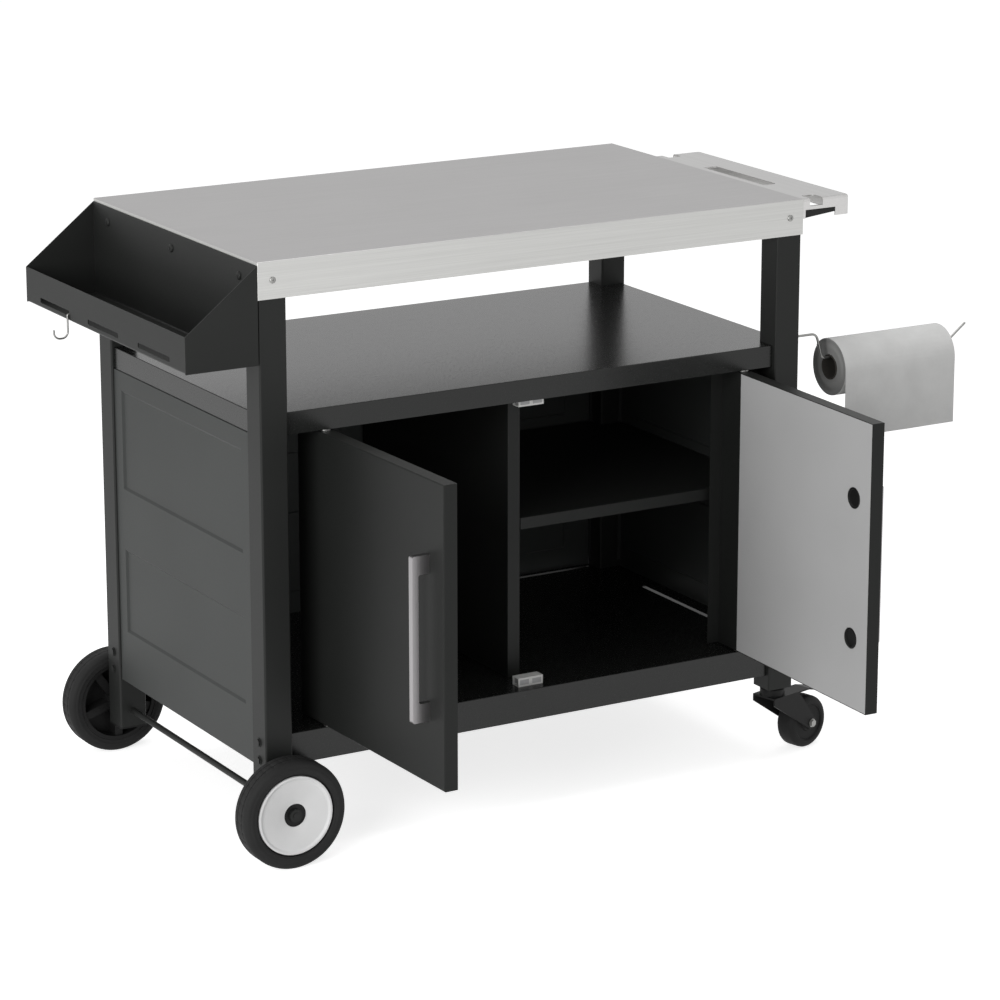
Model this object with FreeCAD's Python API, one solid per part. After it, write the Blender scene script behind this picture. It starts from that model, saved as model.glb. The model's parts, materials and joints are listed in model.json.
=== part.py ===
import FreeCAD, Part
import math
import os

V = FreeCAD.Vector
X_AXIS = V(1, 0, 0)
Y_AXIS = V(0, 1, 0)
Z_AXIS = V(0, 0, 1)

# A grill cart with a cabinet under an open shelf, a tray on its left end, a push handle and a
# towel rod on its right end, two road wheels on one axle at the left and two swivel casters at
# the right. X runs to the right, Y to the back, Z up. The origin is on the floor under the
# middle of the worktop. All lengths are in millimetres. The doors are modelled standing open.

# Clearances
seat_gap = 0.3             # between curved faces that only rest on each other
running_gap = 0.05         # radial, pins and axles in their bores
post_fit = 0.5             # sheet metal beside a post
round_flats = 3            # flats that stand for a quarter round on a wheel

# Worktop
top_width = 950.0
top_depth = 565.0
top_height = 916.0
apron_height = 56.0
top_sheet = 1.5
top_bend = 1.2
stiffener_width = 60.0
stiffener_height = 18.0
stiffener_rim = 14.0
stiffener_offset = 150.0   # each channel from the middle of the worktop
stiffener_end_gap = 48.0

# Corner posts
post_side = 45.0
post_wall = 1.6
post_corner = 3.0
caster_post_foot = 122.0   # lower end of the two posts that stand on casters
axle_post_overhang = 25.0  # post below the axle
plug_lip = 3.0
plug_depth = 14.0
plug_wall = 3.0

# Shelf and floor, folded pans between the posts
pan_sheet = 1.5
pan_bend = 1.2
pan_front_setback = 8.0    # behind the front faces of the posts
pan_side_setback = 5.0
shelf_height = 686.0
shelf_flange = 34.0
floor_height = 192.0
floor_flange = 49.0
floor_slot_length = 224.0
floor_slot_width = 8.0
side_slot_inset = 32.0     # edge of the floor to the middle of the slot beside it
back_slot_inset = 14.5
back_slot_end = 48.0       # side of the floor to the end of the back slot

# Side and back panels
panel_sheet = 1.5
panel_return = 8.0
panel_overhang = 1.5       # panel below the floor flange
panel_fold_lift = 12.0     # floor sheet to the foot of the upright folds
field_margin = 26.0
field_depth = 2.5
field_slope = 4.0
field_foot = 86.0          # foot of the panel to the lower field
field_below_shelf = 82.5   # lower field to the half shelf
field_above_shelf = 15.5   # half shelf to the upper field
field_head = 29.5          # upper field to the head of the panel
back_field_gap = 98.0      # between the fields of the back panel, and beside them
back_screw_inset = 143.0   # post to the outer screws of the back panel

# Divider and half shelf
divider_width = 22.0
divider_setback = 80.0     # front of the divider behind the front edge of the worktop
divider_sheet = 1.5
inner_back_gap = 6.0
half_shelf_height = 447.0
half_shelf_flange = 18.5
half_shelf_sheet = 1.5
half_shelf_gap = 1.0
bracket_leg = 14.0
bracket_sheet = 1.5
bracket_length = 260.0

# Doors
door_thickness = 22.0
door_sheet = 1.2
door_liner = 1.5
door_edge_gap = 3.0        # to the post, the rail above and the floor below
door_middle_gap = 4.0      # between the two doors when shut
door_recess = 4.0          # face of a shut door behind the post faces
left_pivot_inset = 66.0    # from the hinge edge of the door to its pivot
right_pivot_inset = 46.0
door_open_angle = 88.5
pivot_radius = 4.0
pivot_reach = 12.0
pivot_collar_radius = 8.0
pivot_bracket_width = 30.0
pivot_bracket_sheet = 2.5
pivot_upper_gap = 0.5      # shut door to the collar above it
door_corner = 2.0
hinge_strip = 11.0         # pivot to the edge of the liner
door_lip = 20.0            # fold along the hinge edge, behind the door

# Door handles
handle_length = 248.0
handle_bar = 10.0
handle_leg = 28.0
handle_reach = 28.0        # door face to the outer face of the bar
handle_edge = 45.0         # free edge of the door to the middle of the bar
handle_height = 415.0
plug_hole_radius = 15.0
plug_sheet = 1.2
handle_round = 3.0
handle_screw_radius = 2.5
handle_screw_depth = 12.0

# Catches
catch_width = 44.0
catch_depth = 18.0
catch_drop = 13.0          # upper catch below the shelf flange
catch_rise = 14.0          # lower catch above the floor
catch_sheet = 1.5
magnet_width = 16.0
magnet_height = 8.0

# Tray
tray_reach = 117.0         # worktop edge to the face of the lip
tray_top_drop = 5.0
tray_depth = 147.0
tray_lip = 55.0
tray_sheet = 1.5
tray_bend = 4.0
tray_end_return = 10.0
tray_screw_head = 6.5
tray_screw_inset = 56.0    # end plate to the outer screws
slot_length = 108.0
slot_height = 8.0
slot_lift = 8.0            # underside of the tray to the slots
slot_pitch = 176.0
hook_wire = 3.0
hook_drop = 36.0
hook_curl = 10.0           # radius of the open curl
hook_tip = 4.0
hook_from_slot_end = 3.0

# Side handle
grip_reach = 90.0
grip_length = 432.0
grip_front_gap = 3.0
grip_sheet = 2.0
grip_skirt = 31.0
grip_nose = 4.5            # radius where the top turns down
grip_corner = 8.0          # upright outer corners
grip_hole_corner = 4.0
grip_slot_inset = 14.0     # worktop to the line of slots
grip_slot_width = 24.0
finger_slot_length = 176.0
end_slot_length = 25.5     # open at the end of the handle
end_slot_drop = 12.0       # how far it runs down the end skirt
end_window_inset = 6.0
end_window_length = 56.0
end_window_height = 13.5
gusset_length = 62.0
gusset_rise = 6.0          # foot of the gusset, from the worktop to its outer end

# Towel rod and roll
rod_radius = 2.0
rod_height = 691.0
rod_drop = 41.0
rod_run = 54.0             # post face to the middle of the downward bend
rod_bend = 12.0
rod_tip = 42.0
rod_tip_angle = 38.0
rod_foot_width = 24.0
rod_foot_height = 56.0
rod_foot_thickness = 3.0
rod_foot_corner = 4.0
rod_screw_inset = 9.0
rod_overrun = 20.0         # roll to the upward bend
roll_length = 213.0
roll_radius = 46.0
roll_core_radius = 20.0
roll_core_wall = 1.5
roll_start = 74.0          # post face to the near end of the roll
tail_drop = 107.0
tail_thickness = 1.2
paper_gap = 0.1            # paper on its core, tyre on its rim

# Road wheels
wheel_radius = 84.5
wheel_width = 40.0
wheel_gap = 12.0           # post to wheel
tyre_shoulder = 8.0
rim_radius = 64.0
hub_web = 8.0
spoke_set_in = 3.0
hub_barrel_radius = 17.0
spoke_count = 5
spoke_width = 13.0
rim_wall = 5.0
axle_radius = 5.0
axle_end = 1.0             # axle beyond its nuts
axle_sleeve_radius = 11.0
axle_nut_radius = 10.0
axle_nut_height = 5.0
disc_radius = 61.0
disc_sheet = 2.0
disc_dish = 3.0
disc_rim = 5.0
window_lobe_reach = 41.0   # wheel axis to the tip of a lobe of the window
window_lobe_radius = 13.0
window_lobes = 3
dimple_circle = 50.0
dimple_length = 27.0
dimple_width = 8.0
dimple_depth = 1.2
dimple_count = 6

# Casters
caster_wheel_radius = 43.0
caster_wheel_width = 36.0
caster_wheel_shoulder = 9.0
caster_trail = 73.0
caster_heading = 15.0      # degrees from +X, the way the casters trail at rest
caster_plate_thickness = 3.0
caster_socket_height = 28.0
caster_swivel_gap = 0.5
caster_head_radius = 20.0
caster_head_height = 14.0
caster_stem_radius = 6.0
caster_washer_radius = 10.0
caster_washer_drop = 9.5   # top of the fork to the washer that carries it
caster_washer_height = 2.5
fork_sheet = 3.0
fork_gap = 2.5             # wheel to fork leg
fork_reach = 34.0          # crown plate behind the swivel axis
fork_foot_radius = 11.0
caster_bolt_radius = 4.0
caster_bolt_head = 7.0
caster_bolt_head_height = 4.0
caster_hub_radius = 12.0
caster_hub_recess = 3.0
pedal_pin_radius = 2.5
pedal_pin_x = 38.0
pedal_pin_z = 95.0
pedal_sleeve_radius = 5.0
pedal_width = 30.0
pedal_sheet = 2.5
pedal_reach = 66.0

# Fasteners
screw_radius = 1.9
screw_length = 9.0
screw_head = 5.0
screw_head_height = 2.2
bolt_radius = 3.0
bolt_head = 6.0
bolt_head_height = 3.5
bolt_pitch = 28.0
bolt_nut_height = 5.0
worktop_screw_drop = 28.0
tray_screw_drop = 24.0

# Places that follow from the sizes
half_w = top_width / 2
half_d = top_depth / 2
post_x = half_w - top_sheet - post_fit          # outer faces of the posts
post_y = half_d - top_sheet - post_fit
post_in_x = post_x - post_side                  # inner faces of the posts
post_in_y = post_y - post_side
post_mid_x = post_x - post_side / 2
post_mid_y = post_y - post_side / 2
pan_x = post_x - pan_side_setback
pan_front = -(post_y - pan_front_setback)
pan_back = post_y - pan_front_setback
rail_under = shelf_height - shelf_flange
axle_height = wheel_radius
axle_post_foot = axle_height - axle_post_overhang
panel_low = floor_height - floor_flange - panel_overhang
panel_face_x = pan_x + panel_sheet
panel_face_y = pan_back + panel_sheet
bolt_row = floor_height - floor_flange / 2
divider_front = -half_d + divider_setback
inner_back = pan_back - pan_sheet - inner_back_gap
door_face = -(post_y - door_recess)             # front face of a shut door
door_back = door_face + door_thickness
door_bottom = floor_height + door_edge_gap
door_top = rail_under - door_edge_gap
door_width = post_in_x - door_edge_gap - door_middle_gap / 2
pivot_y = door_face + door_thickness / 2
left_pivot_x = -(post_in_x - door_edge_gap) + left_pivot_inset
right_pivot_x = post_in_x - door_edge_gap - right_pivot_inset
tray_x = -half_w
tray_top = top_height - tray_top_drop
tray_floor = tray_top - tray_depth
tray_lip_x = tray_x - tray_reach
lower_magnets = floor_height + catch_rise / 2
upper_magnets = rail_under - catch_drop / 2
grip_front = -half_d + grip_front_gap
grip_top = top_height - top_bend
roll_x = post_x + roll_start
rod_level = rod_height - rod_drop
roll_bore = roll_core_radius - roll_core_wall
roll_z = rod_level + rod_radius + seat_gap - roll_bore
wheel_front_y = -(post_y + wheel_gap)
wheel_back_y = post_y + wheel_gap
hub_face = wheel_width - disc_sheet - disc_dish  # post side of a wheel to the back of its disc
fork_top = caster_post_foot - caster_plate_thickness - caster_swivel_gap
fork_crown = fork_top - caster_head_height


def block(x0, x1, y0, y1, z0, z1):
    return Part.makeBox(x1 - x0, y1 - y0, z1 - z0, V(x0, y0, z0))


def rod(radius, length, base, direction):
    return Part.makeCylinder(radius, length, base, direction)


def tube(outer, inner, length, base, direction):
    return rod(outer, length, base, direction).cut(rod(inner, length, base, direction))


def joined(first, *others):
    return first.fuse(list(others)).removeSplitter()


def group(shapes):
    return Part.makeCompound(shapes)


def plate(points, direction):
    return Part.Face(Part.makePolygon(points + points[:1])).extrude(direction)


def edges_where(shape, test):
    found = []
    for edge in shape.Edges:
        box = edge.BoundBox
        if test(box):
            found.append(edge)
    return found


def lies_at(low, high, value):
    return abs(low - value) < 0.01 and abs(high - value) < 0.01


def turned(shape, degrees, centre, axis=Z_AXIS):
    copy = shape.copy()
    copy.rotate(centre, axis, degrees)
    return copy


def moved(shape, x, y, z):
    copy = shape.copy()
    copy.translate(V(x, y, z))
    return copy


def write(node, shape):
    shape.exportStep("parts/" + node + ".step")


# A screw whose head stands on a face at base and whose shank runs inward
def screw(base, inward, radius, length, head, head_height):
    outward = V(inward).multiply(-1)
    return joined(rod(radius, length, base, inward), rod(head, head_height, base, outward))


def drilled(shape, base, inward, radius, reach):
    start = base.sub(V(inward))
    return shape.cut(rod(radius, reach + 2.0, start, inward))


def screw_hole(shape, base, inward, sheet):
    return drilled(shape, base, inward, screw_radius + running_gap, sheet)


# Worktop, a sheet with its apron folded down on all four sides and the corners closed
def worktop():
    low = top_height - apron_height
    outer = block(-half_w, half_w, -half_d, half_d, low, top_height)
    upper = edges_where(outer, lambda b: lies_at(b.ZMin, b.ZMax, top_height))
    upright = edges_where(outer, lambda b: b.ZLength > apron_height / 2)
    outer = outer.makeFillet(top_bend, upper + upright)
    t = top_sheet
    top = outer.cut(block(-half_w + t, half_w - t, -half_d + t, half_d - t,
                          low - 1, top_height - t))
    for base, inward in worktop_screws():
        top = screw_hole(top, base, inward, t)
    for base, inward in tray_screws() + grip_screws():
        face = V(math.copysign(half_w, base.x), base.y, base.z)
        top = screw_hole(top, face, inward, t)
    return top


def worktop_screws():
    z = top_height - worktop_screw_drop
    places = []
    for x in (-post_mid_x, post_mid_x):
        places.append((V(x, -half_d, z), V(0, 1, 0)))
        places.append((V(x, half_d, z), V(0, -1, 0)))
    return places


# A hat channel: two rims against the sheet above and a web that hangs below
def stiffener(y):
    z = top_height - top_sheet
    x0 = -half_w + stiffener_end_gap
    half = stiffener_width / 2
    wall = half - stiffener_rim
    t = top_sheet
    h = stiffener_height
    right = [(wall, -h + t), (wall, 0), (half, 0), (half, -t), (wall + t, -t), (wall + t, -h)]
    left = [(-py, pz) for py, pz in reversed(right)]
    points = [V(x0, y + py, z + pz) for py, pz in right + left]
    return plate(points, V(-2 * x0, 0, 0))


# Corner post, a square tube with rounded corners
def post_tube(x, y, foot):
    top = top_height - top_sheet
    h = post_side / 2
    k = h - post_wall
    outer = block(x - h, x + h, y - h, y + h, foot, top)
    outer = outer.makeFillet(post_corner, edges_where(outer, lambda b: b.ZLength > h))
    bore = block(x - k, x + k, y - k, y + k, foot - 1, top + 1)
    bore = bore.makeFillet(post_corner - post_wall, edges_where(bore, lambda b: b.ZLength > h))
    return outer.cut(bore)


def post_foot(side_x):
    return axle_post_foot if side_x < 0 else caster_post_foot


def post(side_x, side_y):
    x = side_x * post_mid_x
    y = side_y * post_mid_y
    shape = post_tube(x, y, post_foot(side_x))
    if side_x < 0:
        shape = shape.cut(rod(axle_radius + running_gap, post_side + 2,
                              V(x, y - post_side / 2 - 1, axle_height), Y_AXIS))
    for base, inward in post_bolts():
        if base.x * side_x > 0 and base.y * side_y > 0:
            shape = drilled(shape, base, inward, bolt_radius + running_gap, post_side)
    for base, inward in worktop_screws():
        if base.x * side_x > 0 and base.y * side_y > 0:
            shape = screw_hole(shape, V(base.x, side_y * post_y, base.z), inward, post_wall)
    if side_x > 0 and side_y < 0:
        for base, inward in rod_screws():
            shape = screw_hole(shape, V(post_x, base.y, base.z), inward, post_wall)
    return shape


# Plastic plugs that close the lower ends of the posts on the axle
def post_plug(y):
    x = -post_mid_x
    h = post_side / 2
    k = h - post_wall - seat_gap
    z = axle_post_foot
    w = plug_wall
    lip = block(x - h, x + h, y - h, y + h, z - plug_lip, z)
    lip = lip.makeFillet(post_corner, edges_where(lip, lambda b: abs(b.ZLength - plug_lip) < 0.01))
    body = block(x - k, x + k, y - k, y + k, z, z + plug_depth)
    hollow = block(x - k + w, x + k - w, y - k + w, y + k - w, z, z + plug_depth + 1)
    return joined(lip, body.cut(hollow))


# Two bolts through each post into the floor pan, from the sides of the cart
def post_bolts():
    places = []
    for sx in (-1, 1):
        for sy in (-1, 1):
            for k in (-0.5, 0.5):
                base = V(sx * post_x, sy * post_mid_y, bolt_row + k * bolt_pitch)
                places.append((base, V(-sx, 0, 0)))
    return places


def post_bolt(base, inward):
    grip = post_side + pan_sheet
    bolt = screw(base, inward, bolt_radius, grip + bolt_nut_height, bolt_head, bolt_head_height)
    nut = rod(bolt_head, bolt_nut_height, base.add(V(inward).multiply(grip)), inward)
    return joined(bolt, nut)


# A folded pan between the posts: flanges turned down on four sides, corners folded round posts
def folded_pan(z_top, flange):
    t = pan_sheet
    low = z_top - flange
    outer = block(-pan_x, pan_x, pan_front, pan_back, low, z_top)
    upper = edges_where(outer, lambda b: lies_at(b.ZMin, b.ZMax, z_top))
    pan = outer.makeFillet(pan_bend, upper)
    pan = pan.cut(block(-pan_x + t, pan_x - t, pan_front + t, pan_back - t, low - 1, z_top - t))
    folds = []
    for sx in (-1, 1):
        for sy in (-1, 1):
            xs = sorted((sx * post_in_x, sx * (post_x + 1)))
            ys = sorted((sy * post_in_y, sy * (post_y + 1)))
            pan = pan.cut(block(xs[0], xs[1], ys[0], ys[1], low - 1, z_top + 1))
            xs = sorted((sx * (post_in_x - t), sx * post_in_x))
            ys = sorted((sy * post_in_y, sy * (pan_back - t)))
            folds.append(block(xs[0], xs[1], ys[0], ys[1], low, z_top - t))
            xs = sorted((sx * (post_in_x - t), sx * (pan_x - t)))
            ys = sorted((sy * (post_in_y - t), sy * post_in_y))
            folds.append(block(xs[0], xs[1], ys[0], ys[1], low, z_top - t))
    return joined(pan, *folds)


def middle_shelf():
    return folded_pan(shelf_height, shelf_flange)


def floor_pan():
    pan = folded_pan(floor_height, floor_flange)
    for base, inward in post_bolts():
        face = V(math.copysign(post_in_x, base.x), base.y, base.z)
        pan = drilled(pan, face, inward, bolt_radius + running_gap, pan_sheet)
    for base, inward in back_screws():
        pan = screw_hole(pan, V(base.x, pan_back, base.z), inward, pan_sheet)
    for x, y, width, depth in floor_slots():
        slot = block(x - width / 2, x + width / 2, y - depth / 2, y + depth / 2,
                     floor_height - pan_sheet - 1, floor_height + 1)
        ends = edges_where(slot, lambda b: b.ZLength > pan_sheet)
        pan = pan.cut(slot.makeFillet(floor_slot_width * 0.4, ends))
    return pan


# Air and drain slots in the floor, one beside each side panel and two along the back
def floor_slots():
    slots = []
    for sx in (-1, 1):
        slots.append((sx * (pan_x - side_slot_inset), 0.0, floor_slot_width, floor_slot_length))
        slots.append((sx * (pan_x - back_slot_end - floor_slot_length / 2),
                      pan_back - back_slot_inset, floor_slot_length, floor_slot_width))
    return slots


# A shallow pressed field with sloping sides: the hollow in front and the boss behind it
def pressed_field(centre, middle, width, height):

    def frustum(grow, depth):
        wires = []
        for inset, y in ((-grow, 0.0), (field_slope - grow, depth)):
            w = width / 2 - inset
            h = height / 2 - inset
            corners = [V(centre - w, y, middle - h), V(centre + w, y, middle - h),
                       V(centre + w, y, middle + h), V(centre - w, y, middle + h)]
            wires.append(Part.makePolygon(corners + corners[:1]))
        return Part.makeLoft(wires, True, True)

    return frustum(0.0, field_depth), frustum(panel_sheet, field_depth + panel_sheet)


# A panel in the XZ plane with its face at y = 0 towards -Y, folded at its sides and its top
def pressed_panel(width, fields):
    t = panel_sheet
    half = width / 2
    fold_foot = floor_height + panel_fold_lift
    panel = joined(block(-half, half, 0, t, panel_low, rail_under),
                   block(-half, -half + t, 0, panel_return, fold_foot, rail_under),
                   block(half - t, half, 0, panel_return, fold_foot, rail_under),
                   block(-half, half, 0, panel_return, rail_under - t, rail_under))
    for field in fields:
        hollow, boss = pressed_field(*field)
        panel = panel.fuse(boss).cut(hollow)
    return panel.removeSplitter()


# Two fields, one below and one above the half shelf, so that its bracket lies on flat sheet
def stacked_fields(width, centre):
    spans = ((panel_low + field_foot, half_shelf_height - field_below_shelf),
             (half_shelf_height + field_above_shelf, rail_under - field_head))
    return [(centre, (low + high) / 2, width, high - low) for low, high in spans]


def side_panel(sign):
    width = 2 * (post_in_y - post_fit)
    panel = pressed_panel(width, stacked_fields(width - 2 * field_margin, 0))
    panel = turned(panel, 90 * sign, V(0, 0, 0))
    return moved(panel, sign * panel_face_x, 0, 0)


def back_panel():
    width = 2 * (post_in_x - post_fit)
    fields = []
    for sx in (-1, 1):
        fields += stacked_fields(width / 2 - back_field_gap, sx * width / 4)
    panel = pressed_panel(width, fields)
    panel = moved(turned(panel, 180, V(0, 0, 0)), 0, panel_face_y, 0)
    for base, inward in back_screws():
        panel = screw_hole(panel, base, inward, panel_sheet)
    return panel


def back_screws():
    reach = post_in_x - back_screw_inset
    return [(V(x, panel_face_y, bolt_row), V(0, -1, 0))
            for x in (-reach, -reach / 3, reach / 3, reach)]


# Upright divider: one sheet folded round its front edge
def divider():
    w = divider_width / 2
    t = divider_sheet
    top = shelf_height - pan_sheet
    outer = block(-w, w, divider_front, inner_back, floor_height, top)
    nose = edges_where(outer, lambda b: b.ZLength > 1 and lies_at(b.YMin, b.YMax, divider_front))
    outer = outer.makeFillet(pan_bend, nose)
    inner = block(-w + t, w - t, divider_front + t, inner_back + 1, floor_height - 1, top + 1)
    return outer.cut(inner)


def half_shelf():
    g = half_shelf_gap
    t = half_shelf_sheet
    x0 = divider_width / 2 + g
    x1 = pan_x - g
    z = half_shelf_height
    low = z - half_shelf_flange
    outer = block(x0, x1, divider_front, inner_back, low, z)
    front = edges_where(outer, lambda b: lies_at(b.ZMin, b.ZMax, z)
                        and lies_at(b.YMin, b.YMax, divider_front))
    shelf = outer.makeFillet(pan_bend, front)
    shelf = shelf.cut(block(x0 - 1, x1 + 1, divider_front + t, inner_back - t, low - 1, z - t))
    inset = post_fit + panel_sheet + g
    return shelf.cut(block(post_in_x - inset, x1 + 1, post_in_y - inset, inner_back + 1,
                           low - 1, z + 1))


# Two angles that carry the half shelf, one on the divider and one on the side panel
def half_shelf_brackets():
    t = bracket_sheet
    z1 = half_shelf_height - half_shelf_sheet
    y0 = -bracket_length / 2
    y1 = bracket_length / 2
    left = divider_width / 2
    right = pan_x
    return group([joined(block(left, left + t, y0, y1, z1 - bracket_leg, z1),
                         block(left, left + bracket_leg, y0, y1, z1 - t, z1)),
                  joined(block(right - t, right, y0, y1, z1 - bracket_leg, z1),
                         block(right - bracket_leg, right, y0, y1, z1 - t, z1))])


# The doors are drawn shut in their own frame: pivot at x = 0, free edge towards +X, face at -Y
def handle_legs():
    offset = (handle_length - handle_leg) / 2
    return handle_height - offset, handle_height + offset


def handle_x(inset):
    return door_width - inset - handle_edge


# Outer sheet: a pan round the door, closed over its hinge side and folded back along its edge
def door_skin(inset):
    x0 = -inset
    x1 = door_width - inset
    h = door_thickness / 2
    t = door_sheet
    outer = block(x0, x1, -h, h, door_bottom, door_top)
    front = edges_where(outer, lambda b: lies_at(b.YMin, b.YMax, -h))
    skin = outer.makeFillet(door_corner, front)
    skin = skin.cut(block(x0 + t, x1 - t, -h + t, h + 1, door_bottom + t, door_top - t))
    skin = joined(skin, block(x0, hinge_strip, h - t, h, door_bottom, door_top),
                  block(x0, x0 + t, h - t, h + door_lip, door_bottom, door_top))
    skin = skin.cut(rod(pivot_radius + running_gap, door_top - door_bottom + 2,
                        V(0, 0, door_bottom - 1), Z_AXIS))
    for z in handle_legs():
        base = V(handle_x(inset), -h, z)
        skin = drilled(skin, base, V(0, 1, 0), handle_screw_radius + running_gap, t)
    return skin


def door_liner_panel(inset):
    h = door_thickness / 2
    t = door_sheet
    liner = block(hinge_strip, door_width - inset - t, h - door_liner, h,
                  door_bottom + t, door_top - t)
    for z in handle_legs():
        base = V(handle_x(inset), h - door_liner, z)
        liner = drilled(liner, base, V(0, 1, 0), plug_hole_radius, door_liner)
    return liner


# Dished plugs in the two holes behind the handle screws
def door_plugs(inset):
    h = door_thickness / 2
    r = plug_hole_radius
    plugs = []
    for z in handle_legs():
        flange = V(handle_x(inset), h - door_liner - plug_sheet, z)
        wall = V(handle_x(inset), h - door_liner, z)
        plugs.append(joined(rod(r + plug_sheet, plug_sheet, flange, Y_AXIS),
                            tube(r - seat_gap, r - seat_gap - plug_sheet, door_liner,
                                 wall, Y_AXIS)))
    return group(plugs)


# Bar handle of square bar, its two ends turned back to the door as short broad legs
def door_handle(inset):
    x = handle_x(inset)
    b = handle_bar / 2
    face = -door_thickness / 2
    front = face - handle_reach
    z0 = handle_height - handle_length / 2
    z1 = handle_height + handle_length / 2
    whole = block(x - b, x + b, front, face, z0, z1)
    whole = whole.makeFillet(handle_round, edges_where(
        whole, lambda e: e.XLength > b and lies_at(e.YMin, e.YMax, front)))
    gap = block(x - b - 1, x + b + 1, front + handle_bar, face + 1,
                z0 + handle_leg, z1 - handle_leg)
    gap = gap.makeFillet(handle_round, edges_where(
        gap, lambda e: e.XLength > b and lies_at(e.YMin, e.YMax, front + handle_bar)))
    bar = whole.cut(gap)
    for z in handle_legs():
        hole = V(x, face - handle_screw_depth, z)
        bar = bar.cut(rod(handle_screw_radius + running_gap, handle_screw_depth + 1, hole, Y_AXIS))
    return bar


def handle_screws(inset):
    inner_face = -door_thickness / 2 + door_sheet
    screws = []
    for z in handle_legs():
        base = V(handle_x(inset), inner_face, z)
        screws.append(screw(base, V(0, -1, 0), handle_screw_radius,
                            door_sheet + handle_screw_depth - 1, screw_head, screw_head_height))
    return group(screws)


def hung_door(shape, sign):
    shape = turned(shape, -door_open_angle, V(0, 0, 0))
    if sign < 0:
        return moved(shape, left_pivot_x, pivot_y, 0)
    return moved(shape.mirror(V(0, 0, 0), X_AXIS), right_pivot_x, pivot_y, 0)


# The lower pins stand on the floor sheet, each with a collar that carries its door
def lower_pivots():
    pins = []
    for x in (left_pivot_x, right_pivot_x):
        base = V(x, pivot_y, floor_height)
        pins.append(joined(rod(pivot_collar_radius, door_edge_gap, base, Z_AXIS),
                           rod(pivot_radius, door_edge_gap + pivot_reach, base, Z_AXIS)))
    return group(pins)


# The upper pins hang from angle brackets tucked behind the front flange of the shelf
def upper_pivots():
    pins = []
    t = pivot_bracket_sheet
    w = pivot_bracket_width / 2
    under = shelf_height - pan_sheet
    y0 = pan_front + pan_sheet
    y1 = y0 + pivot_bracket_width
    collar = door_edge_gap - pivot_upper_gap
    for x in (left_pivot_x, right_pivot_x):
        pins.append(joined(
            block(x - w, x + w, y0, y1, rail_under, rail_under + t),
            block(x - w, x + w, y1 - t, y1, rail_under, under),
            rod(pivot_collar_radius, collar, V(x, pivot_y, rail_under - collar), Z_AXIS),
            rod(pivot_radius, door_edge_gap + pivot_reach,
                V(x, pivot_y, door_top - pivot_reach), Z_AXIS)))
    return group(pins)


# A catch is a short box with two windows in its front for the magnets
def catch(low, high, magnet_z):
    w = catch_width / 2
    t = catch_sheet
    y0 = door_back + seat_gap
    y1 = y0 + catch_depth
    box = block(-w, w, y0, y1, low, high)
    box = box.cut(block(-w - 1, w + 1, y0 + t, y1 - t, low + t, high - t))
    for sx in (-1, 1):
        box = box.cut(magnet(sx, magnet_z))
    return box


def magnet(sx, z):
    x = sx * catch_width / 4
    y0 = door_back + seat_gap
    return block(x - magnet_width / 2, x + magnet_width / 2, y0, y0 + catch_depth - catch_sheet,
                 z - magnet_height / 2, z + magnet_height / 2)


def door_catches():
    upper_low = rail_under - catch_drop
    return group([catch(floor_height, floor_height + catch_rise, lower_magnets),
                  catch(upper_low, shelf_height - pan_sheet, upper_magnets)])


def catch_magnets():
    return group([magnet(sx, z) for sx in (-1, 1) for z in (lower_magnets, upper_magnets)])


# Tray: back wall, floor and lip bent from one sheet, with three long slots in the lip
def tray_section(inset, y0, y1, top):
    r = tray_bend - inset
    low = tray_floor + inset
    shape = block(tray_lip_x + inset, tray_x - inset, y0, y1, low, top)
    bends = edges_where(shape, lambda b: b.YLength > 1 and lies_at(b.ZMin, b.ZMax, low))
    return shape.makeFillet(r, bends)


def tray_slots():
    return [-slot_pitch, 0.0, slot_pitch]


def tray():
    t = tray_sheet
    y0 = -half_d + t
    y1 = half_d - t
    body = tray_section(0.0, y0, y1, tray_top)
    body = body.cut(tray_section(t, y0 - 1, y1 + 1, tray_top + 1))
    body = body.cut(block(tray_lip_x - 1, tray_x - 2 * t, y0 - 1, y1 + 1,
                          tray_floor + tray_lip, tray_top + 1))
    z = tray_floor + slot_lift
    for y in tray_slots():
        slot = block(tray_lip_x - 1, tray_lip_x + t + 1, y - slot_length / 2, y + slot_length / 2,
                     z, z + slot_height)
        ends = edges_where(slot, lambda b: b.XLength > t)
        body = body.cut(slot.makeFillet(slot_height * 0.25, ends))
    for base, inward in tray_screws():
        body = screw_hole(body, base, inward, t)
    return body


# End plate: its sloping edge falls from the worktop to the lip, with a fold inside the lip
def tray_end(sign):
    t = tray_sheet
    y = sign * half_d
    lip_top = tray_floor + tray_lip
    points = [V(tray_x, y, tray_floor), V(tray_x, y, tray_top), V(tray_lip_x, y, lip_top),
              V(tray_lip_x, y, tray_floor)]
    sheet = plate(points, V(0, -sign * t, 0))
    ys = sorted((y, y - sign * tray_end_return))
    fold = block(tray_lip_x + t, tray_lip_x + 2 * t, ys[0], ys[1],
                 tray_floor + tray_bend + t, lip_top - t)
    return joined(sheet, fold)


def tray_screws():
    z = tray_top - tray_screw_drop
    reach = half_d - tray_screw_inset
    return [(V(tray_x - tray_sheet, y, z), V(1, 0, 0)) for y in (-reach, 0.0, reach)]


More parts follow.
